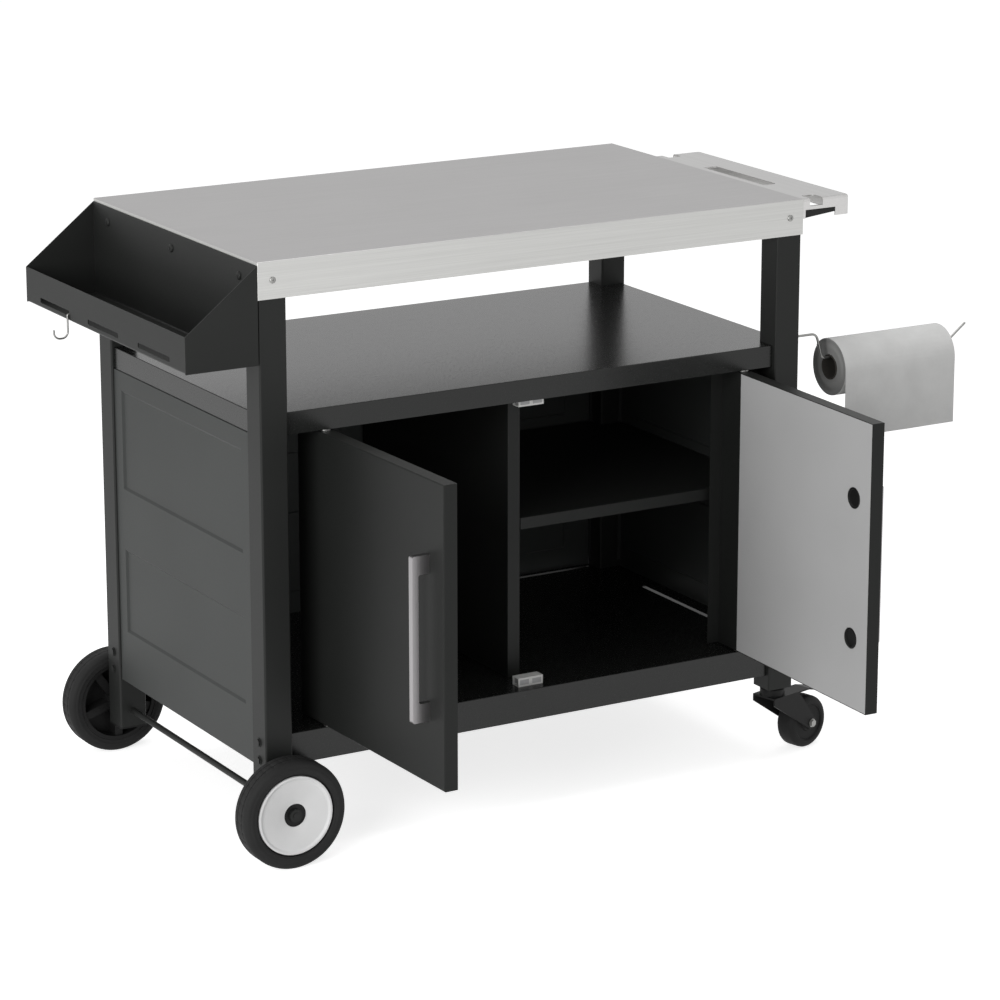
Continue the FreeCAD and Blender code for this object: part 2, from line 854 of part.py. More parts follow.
# Round wire along a line of points, bent at each corner with the radius given for it
def bent_wire(points, radius, bends):
    edges = []
    start = points[0]
    for before, corner, after, bend in zip(points, points[1:], points[2:], bends):
        into = corner.sub(before).normalize()
        out = after.sub(corner).normalize()
        half = into.getAngle(out) / 2
        setback = bend * math.tan(half)
        first = corner.sub(V(into).multiply(setback))
        last = corner.add(V(out).multiply(setback))
        centre = corner.add(V(out).sub(into).normalize().multiply(bend / math.cos(half)))
        middle = centre.add(corner.sub(centre).normalize().multiply(bend))
        edges.append(Part.makeLine(start, first))
        edges.append(Part.Arc(first, middle, last).toShape())
        start = last
    edges.append(Part.makeLine(start, points[-1]))
    section = Part.Wire([Part.makeCircle(radius, points[0], points[1].sub(points[0]))])
    return Part.Wire(edges).makePipeShell([section], True, False)


# Wire hook that rides in a slot of the lip: a short nose inside, a stem and a curl outside
def tool_hook():
    r = hook_wire / 2
    y = tray_slots()[2] - slot_length / 2 + hook_from_slot_end
    low = tray_floor + slot_lift + r + seat_gap
    nose = tray_lip_x + tray_sheet + r + seat_gap
    stem = tray_lip_x - r - seat_gap
    foot = low - hook_drop
    tip = stem - 2 * hook_curl - hook_wire
    points = [V(nose, y, low + 3 * hook_wire), V(nose, y, low), V(stem, y, low),
              V(stem, y, foot), V(tip, y, foot), V(tip, y, foot + hook_curl + hook_tip)]
    tight = r * 1.05
    return bent_wire(points, r, (tight, tight, hook_curl, hook_curl))


# Side handle: a folded plate beside the worktop with a line of three slots, skirts at its outer
# edge and ends and a back flange screwed to the apron. The end slots are open at the ends.
def side_handle():
    t = grip_sheet
    y0 = grip_front
    y1 = grip_front + grip_length
    x0 = half_w
    x1 = half_w + grip_reach

    def hood(inset, low):
        shape = block(x0 + inset, x1 - inset, y0 + inset, y1 - inset, low, grip_top - inset)
        upright = edges_where(shape, lambda b: b.ZLength > t
                              and lies_at(b.XMin, b.XMax, x1 - inset))
        shape = shape.makeFillet(grip_corner - inset, upright)
        nose = edges_where(shape, lambda b: lies_at(b.ZMin, b.ZMax, grip_top - inset)
                           and b.XMax > x1 - grip_corner)
        return shape.makeFillet(grip_nose - inset, nose)

    low = grip_top - grip_skirt
    grip = hood(0.0, low).cut(hood(t, low - 1))
    for s0, s1, floor in grip_slots():
        slot = block(x0 + grip_slot_inset, x0 + grip_slot_inset + grip_slot_width, s0, s1,
                     grip_top - floor, grip_top + 1)
        corners = edges_where(slot, lambda b: b.ZLength > t)
        grip = grip.cut(slot.makeFillet(grip_hole_corner, corners))
    window = x0 + end_window_inset
    grip = grip.cut(block(window, window + end_window_length, y0 - 1, y1 + 1,
                          low - 1, low + end_window_height))
    for base, inward in grip_screws():
        grip = screw_hole(grip, base, inward, t)
    return grip


def grip_slots():
    y0 = grip_front
    y1 = grip_front + grip_length
    middle = (y0 + y1) / 2
    reach = finger_slot_length / 2
    over = 2 * grip_hole_corner
    return [(middle - reach, middle + reach, 2 * grip_sheet),
            (y0 - over, y0 + end_slot_length, end_slot_drop),
            (y1 - end_slot_length, y1 + over, end_slot_drop)]


def grip_screws():
    middle = grip_front + grip_length / 2
    z = grip_top - grip_skirt / 2
    reach = (finger_slot_length / 2 + grip_length / 2 - end_slot_length) / 2
    return [(V(half_w + grip_sheet, middle + k * reach, z), V(-1, 0, 0)) for k in (-1, 1)]


# Gusset plates behind the windows in the end skirts of the side handle
def handle_gussets():
    x0 = half_w + grip_sheet
    x1 = half_w + gusset_length
    high = grip_top - end_slot_drop
    low = grip_top - grip_skirt
    plates = []
    for y, step in ((grip_front + grip_sheet, 1),
                    (grip_front + grip_length - grip_sheet, -1)):
        points = [V(x0, y, high), V(x1, y, high), V(x1, y, low + gusset_rise), V(x0, y, low)]
        plates.append(plate(points, V(0, step * grip_sheet, 0)))
    return group(plates)


# Towel rod: a wire that leaves the post, drops, runs through the roll and turns up at its end
def towel_rod():
    y = -post_mid_y
    t = rod_foot_thickness
    slope = math.radians(rod_tip_angle)
    run_end = roll_x + roll_length + rod_overrun
    points = [V(post_x + t, y, rod_height), V(post_x + rod_run - rod_bend / 2, y, rod_height),
              V(post_x + rod_run + rod_bend / 2, y, rod_level), V(run_end, y, rod_level),
              V(run_end + rod_tip * math.cos(slope), y, rod_level + rod_tip * math.sin(slope))]
    wire = bent_wire(points, rod_radius, (rod_bend, rod_bend, rod_bend))
    w = rod_foot_width / 2
    h = rod_foot_height / 2
    foot = block(post_x, post_x + t, y - w, y + w, rod_height - h, rod_height + h)
    foot = foot.makeFillet(rod_foot_corner, edges_where(foot, lambda b: b.XLength > t / 2
                                                        and b.YLength < 0.01))
    foot = joined(foot, wire)
    for base, inward in rod_screws():
        foot = screw_hole(foot, base, inward, t)
    return foot


def rod_screws():
    reach = rod_foot_height / 2 - rod_screw_inset
    return [(V(post_x + rod_foot_thickness, -post_mid_y, rod_height + k * reach), V(-1, 0, 0))
            for k in (-1, 1)]


def roll_core():
    return tube(roll_core_radius, roll_bore, roll_length, V(roll_x, -post_mid_y, roll_z), X_AXIS)


def paper_roll():
    return tube(roll_radius, roll_core_radius + paper_gap, roll_length,
                V(roll_x, -post_mid_y, roll_z), X_AXIS)


# Loose end of the paper: it leaves the front of the roll and hangs down in a slight wave
def paper_tail():
    t = tail_thickness
    face = -post_mid_y - roll_radius - seat_gap
    wires = []
    for share, lean in ((0.0, 0.0), (0.35, 0.6), (0.7, 1.6), (1.0, 1.0)):
        z = roll_z - tail_drop * share
        y = face - lean
        corners = [V(roll_x, y - t, z), V(roll_x + roll_length, y - t, z),
                   V(roll_x + roll_length, y, z), V(roll_x, y, z)]
        wires.append(Part.makePolygon(corners + corners[:1]))
    return Part.makeLoft(wires, True, False)


# A wheel's section across its rim, with rounded shoulders, spun about Y
def spun_wheel(inner, outer, y0, y1, shoulder):

    def quarter(y, start):
        angles = [math.radians(start - 90.0 * k / round_flats) for k in range(round_flats + 1)]
        return [V(outer - shoulder + shoulder * math.cos(a), y + shoulder * math.sin(a), 0)
                for a in angles]

    points = [V(inner, y1, 0)] + quarter(y1 - shoulder, 90.0)
    points += quarter(y0 + shoulder, 0.0) + [V(inner, y0, 0)]
    section = Part.Face(Part.makePolygon(points + points[:1]))
    return section.revolve(V(0, 0, 0), Y_AXIS, 360)


# Road wheels are drawn with their axis on Y, the post side at y = 0 and the outside at -Y
def tyre():
    return spun_wheel(rim_radius, wheel_radius, -wheel_width, 0.0, tyre_shoulder)


# Wheel body: rim ring, barrel and web, with pockets between five ribs on the post side
def wheel_hub():
    r = rim_radius - paper_gap
    back = V(0, -hub_face, 0)
    parts = [rod(hub_barrel_radius, hub_face, back, Y_AXIS),
             rod(r - rim_wall / 2, hub_web, back, Y_AXIS)]
    for k in range(spoke_count):
        rib = block(hub_barrel_radius / 2, r - rim_wall / 2, -hub_face, -spoke_set_in,
                    -spoke_width / 2, spoke_width / 2)
        parts.append(turned(rib, 90 + 360.0 / spoke_count * k, V(0, 0, 0), Y_AXIS))
    hub = joined(tube(r, r - rim_wall, hub_face, back, Y_AXIS), *parts)
    return hub.cut(rod(axle_radius + running_gap, hub_face + 2, V(0, -hub_face - 1, 0), Y_AXIS))


# Outer cover: a dished disc with a raised rim, a ring of oblong dimples and a window of three
# rounded lobes in its middle, where the hub and the axle nut show
def wheel_cover():
    y0 = -wheel_width
    disc = rod(disc_radius, disc_sheet + disc_dish, V(0, y0, 0), Y_AXIS)
    disc = disc.cut(Part.makeCone(disc_radius - disc_rim, disc_radius - disc_rim - disc_dish,
                                  disc_dish, V(0, y0, 0), Y_AXIS))
    floor = y0 + disc_dish
    lobe = oblong(0.0, window_lobe_reach - window_lobe_radius, window_lobe_radius, y0 - 1, 0.0)
    dimple = moved(oblong(-(dimple_length - dimple_width) / 2, (dimple_length - dimple_width) / 2,
                          dimple_width / 2, y0, floor + dimple_depth), 0, 0, dimple_circle)
    cuts = [turned(lobe, 90 + 360.0 / window_lobes * k, V(0, 0, 0), Y_AXIS)
            for k in range(window_lobes)]
    cuts += [turned(dimple, 360.0 / dimple_count * k, V(0, 0, 0), Y_AXIS)
             for k in range(dimple_count)]
    return disc.cut(cuts)


# Bar along X with round ends, between two depths in Y
def oblong(x0, x1, radius, y0, y1):
    return joined(block(x0, x1, y0, y1, -radius, radius),
                  rod(radius, y1 - y0, V(x0, y0, 0), Y_AXIS),
                  rod(radius, y1 - y0, V(x1, y0, 0), Y_AXIS))


def on_axle(shape, sign):
    if sign < 0:
        return moved(shape, -post_mid_x, wheel_front_y, axle_height)
    return moved(turned(shape, 180, V(0, 0, 0)), -post_mid_x, wheel_back_y, axle_height)


def axle():
    reach = wheel_back_y + hub_face + seat_gap + axle_nut_height + axle_end
    return rod(axle_radius, 2 * reach, V(-post_mid_x, -reach, axle_height), Y_AXIS)


# A spacer sleeve between post and wheel and a push nut outside the wheel, at both ends
def axle_fittings():
    bore = axle_radius + running_gap
    pieces = []
    for sign in (-1, 1):
        for start, length, radius in (
                (post_y, wheel_gap - seat_gap, axle_sleeve_radius),
                (wheel_back_y + hub_face + seat_gap, axle_nut_height, axle_nut_radius)):
            y = start if sign > 0 else -start - length
            pieces.append(tube(radius, bore, length, V(-post_mid_x, y, axle_height), Y_AXIS))
    return group(pieces)


# Casters are drawn with the swivel axis on Z and the wheel trailing towards +X
def caster_mount():
    z1 = caster_post_foot
    h = post_side / 2
    k = h - post_wall - seat_gap
    base = block(-h, h, -h, h, z1 - caster_plate_thickness, z1)
    base = base.makeFillet(post_corner, edges_where(
        base, lambda b: abs(b.ZLength - caster_plate_thickness) < 0.01))
    socket = block(-k, k, -k, k, z1, z1 + caster_socket_height)
    washer_top = fork_top - caster_washer_drop
    low = washer_top - caster_washer_height
    return joined(base, socket, rod(caster_stem_radius, z1 - low, V(0, 0, low), Z_AXIS),
                  rod(caster_washer_radius, caster_washer_height, V(0, 0, low), Z_AXIS))


# Raked fork: a round head, a crown plate, two legs that reach back to the wheel, a pedal pin
def caster_fork():
    t = fork_sheet
    inner = caster_wheel_width / 2 + fork_gap
    head = rod(caster_head_radius, caster_head_height, V(0, 0, fork_crown), Z_AXIS)
    head = head.makeChamfer(t, edges_where(head, lambda b: lies_at(b.ZMin, b.ZMax, fork_top)))
    front = -caster_head_radius
    parts = [block(front, fork_reach, -inner - t, inner + t, fork_crown - t, fork_crown),
             rod(pedal_pin_radius, 2 * inner + t, V(pedal_pin_x, -inner - t / 2, pedal_pin_z),
                 Y_AXIS)]
    foot_x = caster_trail
    foot_z = caster_wheel_radius
    f = fork_foot_radius
    for y in (-inner - t, inner):
        points = [V(front, y, fork_crown), V(front, y, fork_crown - 4 * t),
                  V(foot_x - 0.8 * f, y, foot_z - 0.6 * f), V(foot_x + 0.9 * f, y, foot_z + 0.45 * f),
                  V(fork_reach + 4 * t, y, pedal_pin_z), V(fork_reach, y, fork_crown)]
        parts += [plate(points, V(0, t, 0)), rod(f, t, V(foot_x, y, foot_z), Y_AXIS)]
    fork = joined(head, *parts)
    washer_top = fork_top - caster_washer_drop + seat_gap
    low = fork_crown - t - 1
    fork = fork.cut(rod(caster_washer_radius + seat_gap, washer_top - low, V(0, 0, low), Z_AXIS))
    fork = fork.cut(rod(caster_stem_radius + running_gap, fork_top - low + 1, V(0, 0, low), Z_AXIS))
    return fork.cut(rod(caster_bolt_radius + running_gap, 2 * inner + 4 * t,
                        V(foot_x, -inner - 2 * t, foot_z), Y_AXIS))


def caster_wheel():
    w = caster_wheel_width / 2
    r = caster_wheel_radius
    s = caster_wheel_shoulder
    wheel = spun_wheel(caster_bolt_radius + running_gap, r, -w, w, s)
    for y in (-w, w - caster_hub_recess):
        wheel = wheel.cut(tube(r - s - caster_hub_recess, caster_hub_radius, caster_hub_recess,
                               V(0, y, 0), Y_AXIS))
    return moved(wheel, caster_trail, 0, r)


def caster_bolt():
    y = caster_wheel_width / 2 + fork_gap + fork_sheet
    h = caster_bolt_head_height
    bolt = joined(rod(caster_bolt_head, h, V(0, -y - h, 0), Y_AXIS),
                  rod(caster_bolt_radius, 2 * y, V(0, -y, 0), Y_AXIS),
                  rod(caster_bolt_head, h, V(0, y, 0), Y_AXIS))
    return moved(bolt, caster_trail, 0, caster_wheel_radius)


# Brake pedal: a sleeve on the cross pin and a plate that reaches back over the wheel
def brake_pedal():
    x = pedal_pin_x
    z = pedal_pin_z
    r = pedal_sleeve_radius
    t = pedal_sheet
    w = pedal_width / 2
    end = x + pedal_reach
    knee = x + pedal_reach * 0.55
    points = [V(x, -w, z + r), V(knee, -w, z + r), V(end, -w, z - t),
              V(end, -w, z - 2 * t), V(knee, -w, z + r - t), V(x, -w, z + r - t)]
    sleeve = rod(r, 2 * w, V(x, -w, z), Y_AXIS)
    pedal = joined(sleeve, plate(points, V(0, 2 * w, 0)))
    return pedal.cut(rod(pedal_pin_radius + running_gap, 2 * w + 2, V(x, -w - 1, z), Y_AXIS))


def under_post(shape, sign, heading):
    return moved(turned(shape, heading, V(0, 0, 0)), post_mid_x, sign * post_mid_y, 0)


def frame_screws():
    screws = []
    for base, inward in worktop_screws() + grip_screws() + rod_screws() + back_screws():
        screws.append(screw(base, inward, screw_radius, screw_length, screw_head,
                            screw_head_height))
    for base, inward in tray_screws():
        screws.append(screw(base, inward, screw_radius, screw_length, tray_screw_head,
                            screw_head_height))
    return group(screws)


def write_frame():
    write("worktop", worktop())
    write("worktop_stiffeners", group([stiffener(-stiffener_offset), stiffener(stiffener_offset)]))
    for side, sx in (("left", -1), ("right", 1)):
        for depth, sy in (("front", -1), ("rear", 1)):
            write("post_" + depth + "_" + side, post(sx, sy))
    write("post_plugs", group([post_plug(-post_mid_y), post_plug(post_mid_y)]))
    write("frame_screws", frame_screws())
    write("post_bolts", group([post_bolt(base, inward) for base, inward in post_bolts()]))


def write_cabinet():
    write("middle_shelf", middle_shelf())
    write("floor_pan", floor_pan())
    write("side_panel_left", side_panel(-1))
    write("side_panel_right", side_panel(1))
    write("back_panel", back_panel())
    write("divider", divider())
    write("half_shelf", half_shelf())
    write("half_shelf_brackets", half_shelf_brackets())
    write("door_catches", door_catches())
    write("catch_magnets", catch_magnets())
    write("door_pivots_lower", lower_pivots())
    write("door_pivots_upper", upper_pivots())


def write_doors():
    for side, sign, inset in (("left", -1, left_pivot_inset), ("right", 1, right_pivot_inset)):
        for name, shape in (("skin", door_skin(inset)), ("liner", door_liner_panel(inset)),
                            ("plugs", door_plugs(inset)), ("handle", door_handle(inset)),
                            ("handle_screws", handle_screws(inset))):
            write("door_" + side + "_" + name, hung_door(shape, sign))


def write_ends():
    write("tray", tray())
    write("tray_end_front", tray_end(-1))
    write("tray_end_rear", tray_end(1))
    write("tool_hook", tool_hook())
    write("side_handle", side_handle())
    write("side_handle_gussets", handle_gussets())
    write("towel_rod", towel_rod())
    write("roll_core", roll_core())
    write("paper_roll", paper_roll())
    write("paper_tail", paper_tail())


def write_running_gear():
    write("axle", axle())
    write("axle_fittings", axle_fittings())
    for place, sign in (("front", -1), ("rear", 1)):
        for name, shape in (("tyre", tyre()), ("hub", wheel_hub()), ("cover", wheel_cover())):
            write("wheel_" + place + "_" + name, on_axle(shape, sign))
        write("caster_" + place + "_mount", under_post(caster_mount(), sign, 0.0))
        for name, shape in (("fork", caster_fork()), ("wheel", caster_wheel()),
                            ("bolt", caster_bolt()), ("pedal", brake_pedal())):
            write("caster_" + place + "_" + name, under_post(shape, sign, caster_heading))


os.makedirs("parts", exist_ok=True)
write_frame()
write_cabinet()
write_doors()
write_ends()
write_running_gear()
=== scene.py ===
import json
import math

import bmesh
import bpy
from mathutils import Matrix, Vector


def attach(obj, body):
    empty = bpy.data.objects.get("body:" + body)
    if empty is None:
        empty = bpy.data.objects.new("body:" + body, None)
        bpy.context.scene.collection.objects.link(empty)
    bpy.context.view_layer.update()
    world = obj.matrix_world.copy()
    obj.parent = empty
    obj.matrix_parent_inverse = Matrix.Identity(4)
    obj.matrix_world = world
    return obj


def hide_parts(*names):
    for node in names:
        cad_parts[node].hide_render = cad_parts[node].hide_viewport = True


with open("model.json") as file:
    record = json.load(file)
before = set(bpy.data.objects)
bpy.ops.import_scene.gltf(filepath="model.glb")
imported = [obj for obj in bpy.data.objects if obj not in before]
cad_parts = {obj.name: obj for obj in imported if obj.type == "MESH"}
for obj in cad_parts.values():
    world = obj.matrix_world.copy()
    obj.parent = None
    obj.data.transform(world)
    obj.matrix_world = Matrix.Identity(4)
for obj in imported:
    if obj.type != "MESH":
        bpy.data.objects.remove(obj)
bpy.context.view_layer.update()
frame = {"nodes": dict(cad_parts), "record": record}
nodes = frame["nodes"]
MM = 0.001


def linear(code):
    """A colour written as sRGB hex, as the linear values that a shader takes."""
    channels = [int(code[i:i + 2], 16) / 255 for i in (1, 3, 5)]
    lit = [c / 12.92 if c <= 0.04045 else ((c + 0.055) / 1.055) ** 2.4 for c in channels]
    return lit + [1.0]


def grey(value):
    return (value,) * 3 + (1,)


def put(tree, kind, settings=None, inputs=None):
    """Adds a shader node, with its settings, its input values and what feeds its inputs."""
    made = tree.nodes.new(kind)
    for name, value in (settings or {}).items():
        setattr(made, name, value)
    for name, value in (inputs or {}).items():
        if isinstance(value, bpy.types.NodeSocket):
            tree.links.new(value, made.inputs[name])
        else:
            made.inputs[name].default_value = value
    return made


def new_material(name):
    made = bpy.data.materials.new(name)
    made.use_nodes = True
    made.node_tree.nodes.clear()
    return made, made.node_tree


def output(tree, shader):
    put(tree, "ShaderNodeOutputMaterial", inputs={"Surface": shader.outputs[0]})


def ramp(tree, value, stops):
    made = put(tree, "ShaderNodeValToRGB", inputs={"Fac": value})
    band = made.color_ramp
    band.elements[0].position, band.elements[0].color = stops[0]
    band.elements[1].position, band.elements[1].color = stops[-1]
    for position, colour in stops[1:-1]:
        band.elements.new(position).color = colour
    return made.outputs["Color"]


def grain(tree, size_mm, detail=2.0, stretch=(1, 1, 1)):
    """Noise whose grains are about size_mm across, drawn longer or shorter along an axis."""
    place = put(tree, "ShaderNodeTexCoord").outputs["Object"]
    scaled = put(tree, "ShaderNodeMapping", inputs={"Vector": place, "Scale": stretch})
    return put(tree, "ShaderNodeTexNoise",
               inputs={"Vector": scaled.outputs["Vector"], "Scale": 1000 / size_mm,
                       "Detail": detail, "Roughness": 0.55}).outputs["Fac"]


# AISI 304 stainless sheet, ground with a belt along its length: fine streaks that stretch each
# reflection across them. The grit lines are drawn 1.2 mm apart so that they show. Faces that
# look up are multiplied by a second, darker tone: painted shade that makes the tops darker than
# the upright faces, a setting matched to the object and no property of the steel.
GRIT_MM = 1.2
STREAK_MM = 200.0


def brushed_stainless(name, dark, light, rough, along, top_shade):
    made, tree = new_material(name)
    stretch = [1.0, 1.0, 1.0]
    stretch["XYZ".index(along)] = GRIT_MM / STREAK_MM
    streaks = grain(tree, GRIT_MM, 3.0, stretch)
    clouds = grain(tree, size_mm=160.0)
    unshaded_tone = ramp(tree, streaks, [(0.2, linear(dark)), (0.8, linear(light))])
    facing = put(tree, "ShaderNodeSeparateXYZ",
                 inputs={"Vector": put(tree, "ShaderNodeNewGeometry").outputs["Normal"]})
    # Painted shade: faces that look up are multiplied by a darker tone, so the tops read darker
    # than the upright faces.
    flat = ramp(tree, facing.outputs["Z"], [(0.6, grey(0)), (0.95, grey(1))])
    tone = put(tree, "ShaderNodeMix", {"data_type": "RGBA", "blend_type": "MULTIPLY"},
               {"Factor": flat, 6: unshaded_tone, 7: linear(top_shade)}).outputs[2]
    worn = ramp(tree, clouds, [(0.2, grey(rough - 0.02)), (0.8, grey(rough + 0.02))])
    bump = put(tree, "ShaderNodeBump", inputs={"Height": streaks, "Strength": 0.2,
                                               "Distance": 0.015 * MM})
    shader = put(tree, "ShaderNodeBsdfPrincipled",
                 inputs={"Base Color": tone, "Metallic": 1.0, "Roughness": worn,
                         "Normal": bump.outputs["Normal"]})
    output(tree, shader)
    return made


# Polyester powder coat baked on steel sheet: a faint orange peel of 2 mm waves over a flat black
# or grey, with a soft broad sheen. The peel is drawn at 2.5 mm so that it shows.
def powder_coat(name, low, high, rough, gloss):
    made, tree = new_material(name)
    peel = grain(tree, size_mm=2.5)
    drift = grain(tree, size_mm=220.0)
    tone = ramp(tree, drift, [(0.25, linear(low)), (0.75, linear(high))])
    sheen = ramp(tree, peel, [(0.2, grey(rough - 0.03)), (0.8, grey(rough + 0.03))])
    bump = put(tree, "ShaderNodeBump", inputs={"Height": peel, "Strength": 0.12,
                                               "Distance": 0.02 * MM})
    shader = put(tree, "ShaderNodeBsdfPrincipled",
                 inputs={"Base Color": tone, "Roughness": sheen, "Specular IOR Level": gloss,
                         "IOR": 1.5, "Normal": bump.outputs["Normal"]})
    output(tree, shader)
    return made


# Zinc electroplate, passivated: a grey metal with faint crystals of about 1 mm, half bright.
# Nickel plated wire is drawn with it too.
def zinc_plate(name, dark, light, rough):
    made, tree = new_material(name)
    crystals = grain(tree, size_mm=1.0, detail=3.0)
    tone = ramp(tree, crystals, [(0.3, linear(dark)), (0.7, linear(light))])
    bump = put(tree, "ShaderNodeBump", inputs={"Height": crystals, "Strength": 0.1,
                                               "Distance": 0.02 * MM})
    shader = put(tree, "ShaderNodeBsdfPrincipled",
                 inputs={"Base Color": tone, "Metallic": 1.0, "Roughness": rough,
                         "Normal": bump.outputs["Normal"]})
    output(tree, shader)
    return made


# Injection moulded polypropylene, nylon or ABS: a low sheen over a spark eroded grain, drawn
# 0.9 mm across so that it shows. Moulded rubber, wound card and the dull faces of the magnets
# are drawn with it too, each with its own grain and sheen.
def moulded_plastic(name, low, high, rough, grit_mm, depth_mm, gloss=0.25):
    made, tree = new_material(name)
    grit = grain(tree, grit_mm, detail=3.0)
    drift = grain(tree, size_mm=60.0)
    tone = ramp(tree, drift, [(0.3, linear(low)), (0.7, linear(high))])
    bump = put(tree, "ShaderNodeBump", inputs={"Height": grit, "Strength": 0.3,
                                               "Distance": depth_mm * MM})
    shader = put(tree, "ShaderNodeBsdfPrincipled",
                 inputs={"Base Color": tone, "Roughness": rough, "IOR": 1.49,
                         "Specular IOR Level": gloss, "Normal": bump.outputs["Normal"]})
    output(tree, shader)
    return made


# Creped tissue towel, embossed by a roller with rows of small dots about 7 mm apart: matt, soft
# and nearly white, with short fibres of about 0.6 mm that break up its surface.
DOT_GAP_MM = 7.0


def embossed_towel(name, low, high):
    made, tree = new_material(name)
    place = put(tree, "ShaderNodeTexCoord").outputs["Object"]
    dots = put(tree, "ShaderNodeTexVoronoi", inputs={"Vector": place, "Scale": 1000 / DOT_GAP_MM,
                                                     "Randomness": 0.15})
    fibre = grain(tree, size_mm=0.6, detail=4.0)
    drift = grain(tree, size_mm=45.0, detail=3.0)
    tone = ramp(tree, drift, [(0.3, linear(low)), (0.7, linear(high))])
    emboss = put(tree, "ShaderNodeBump", inputs={"Height": dots.outputs["Distance"],
                                                 "Strength": 0.5, "Distance": 0.5 * MM})
    bump = put(tree, "ShaderNodeBump", inputs={"Height": fibre, "Strength": 0.3,
                                               "Distance": 0.1 * MM,
                                               "Normal": emboss.outputs["Normal"]})
    shader = put(tree, "ShaderNodeBsdfPrincipled",
                 inputs={"Base Color": tone, "Roughness": 0.95, "Specular IOR Level": 0.15,
                         "Sheen Weight": 0.2, "Normal": bump.outputs["Normal"]})
    output(tree, shader)
    return made


# End of a wound roll: the edges of the plies make fine rings, drawn 1.8 mm apart so that they
# show. The rings are the plies' own pattern. The grey of the whole end, far darker than the
# paper's own white, is painted shade.
RING_GAP_MM = 1.776533
WAVE_RING = math.pi / 10  # scaled length that a wave texture gives to one ring


def wound_paper_end(name, low, high, centre):
    made, tree = new_material(name)
    place = put(tree, "ShaderNodeTexCoord").outputs["Object"]
    middle = put(tree, "ShaderNodeMapping", inputs={"Vector": place, "Location": centre})
    rings = put(tree, "ShaderNodeTexWave", {"wave_type": "RINGS", "rings_direction": "X"},
                {"Vector": middle.outputs["Vector"], "Scale": 1000 * WAVE_RING / RING_GAP_MM,
                 "Distortion": 1.5, "Detail": 2.0})
    tone = ramp(tree, rings.outputs["Fac"], [(0.1, linear(low)), (0.9, linear(high))])
    shader = put(tree, "ShaderNodeBsdfPrincipled",
                 inputs={"Base Color": tone, "Roughness": 0.9, "Specular IOR Level": 0.2})
    output(tree, shader)
    return made


# The last tone of each steel is painted shade, laid on the faces that look up.
worktop_steel = brushed_stainless("brushed_304_stainless_sheet", "#b4b4b2", "#c4c4c2",
                                  rough=0.36, along="X", top_shade="#c4c2c4")
handle_steel = brushed_stainless("brushed_304_stainless_handle", "#bdbcbb", "#cfcecd",
                                 rough=0.32, along="Y", top_shade="#d2d2d2")
bar_steel = brushed_stainless("brushed_304_stainless_bar", "#8e8c8d", "#a09e9f",
                              rough=0.30, along="Z", top_shade="#f0f0f0")
black_coat = powder_coat("polyester_powder_coat_black", "#1c1d1c", "#202120",
                         rough=0.50, gloss=0.20)
panel_coat = powder_coat("polyester_powder_coat_dark_grey", "#2f3130", "#343635",
                         rough=0.52, gloss=0.24)
shelf_coat = powder_coat("semi_gloss_powder_coat_black", "#161716", "#1a1b1a",
                         rough=0.26, gloss=0.33)
door_coat = powder_coat("satin_powder_coat_black_door", "#1b1c1b", "#1f201f",
                        rough=0.45, gloss=0.15)
liner_coat = powder_coat("primer_grey_powder_coat", "#aaaaaa", "#b1b1b1",
                         rough=0.52, gloss=0.3)
zinc = zinc_plate("zinc_electroplate", "#868684", "#9a9a98", rough=0.38)
plated_wire = zinc_plate("nickel_plated_wire", "#8b8b89", "#939391", rough=0.34)
black_plastic = moulded_plastic("moulded_black_polypropylene", "#151515", "#191919",
                                rough=0.5, grit_mm=0.9, depth_mm=0.02, gloss=0.15)
white_plastic = moulded_plastic("moulded_white_abs", "#d2d2d0", "#dadad8",
                                rough=0.42, grit_mm=0.9, depth_mm=0.02)
magnet_grey = moulded_plastic("nickel_plated_magnet", "#a4a4a5", "#adadae",
                              rough=0.4, grit_mm=0.7, depth_mm=0.02)
cover_plastic = moulded_plastic("moulded_silver_grey_abs", "#d6d6d6", "#dedede",
                                rough=0.4, grit_mm=0.9, depth_mm=0.02)
hub_plastic = moulded_plastic("moulded_black_nylon_hub", "#161616", "#1b1b1b",
                              rough=0.48, grit_mm=0.9, depth_mm=0.02, gloss=0.15)
tyre_rubber = moulded_plastic("moulded_black_rubber_tyre", "#202020", "#262626",
                              rough=0.72, grit_mm=0.7, depth_mm=0.03, gloss=0.2)
caster_rubber = moulded_plastic("moulded_caster_rubber", "#1c1c1c", "#212121",
                                rough=0.66, grit_mm=0.7, depth_mm=0.03, gloss=0.18)
# The Mapping moves the left end of the roll to the origin.
shaded_roll_end = wound_paper_end("wound_tissue_plies_painted_shade", "#868685", "#949493",
                            centre=(-0.547, 0.258, -0.6338))
towel = embossed_towel("embossed_creped_tissue", "#cdcdcc", "#d6d6d5")
core_card = moulded_plastic("wound_grey_card", "#3a3835", "#423f3b",
                            rough=0.9, grit_mm=1.2, depth_mm=0.04)

FINISHES = {
    "brushed_top": worktop_steel, "grip_steel": handle_steel, "frame_black": black_coat,
    "panel_grey": panel_coat, "shelf_black": shelf_coat, "door_black": door_coat,
    "liner_grey": liner_coat, "plug_black": black_plastic, "catch_white": white_plastic,
    "magnet": magnet_grey, "zinc": zinc, "hook_wire": plated_wire, "core_card": core_card,
    "towel_paper": towel, "tyre_rubber": tyre_rubber, "hub_plastic": hub_plastic,
    "cover_plastic": cover_plastic, "caster_plastic": black_plastic,
    "caster_tread": caster_rubber,
}

# The door handles share the side handle's slot, and are drawn in the darker bar steel.
DOOR_HANDLES = ("door_left_handle", "door_right_handle")


def dress_cad_nodes():
    for entry in frame["record"]["subparts"]:
        piece = nodes[entry["node"]]
        finish = bar_steel if entry["node"] in DOOR_HANDLES else FINISHES[entry["material_slot"]]
        piece.data.materials.clear()
        piece.data.materials.append(finish)


# Modelling, as by hand: a primitive at its size and place, shaped in edit mode

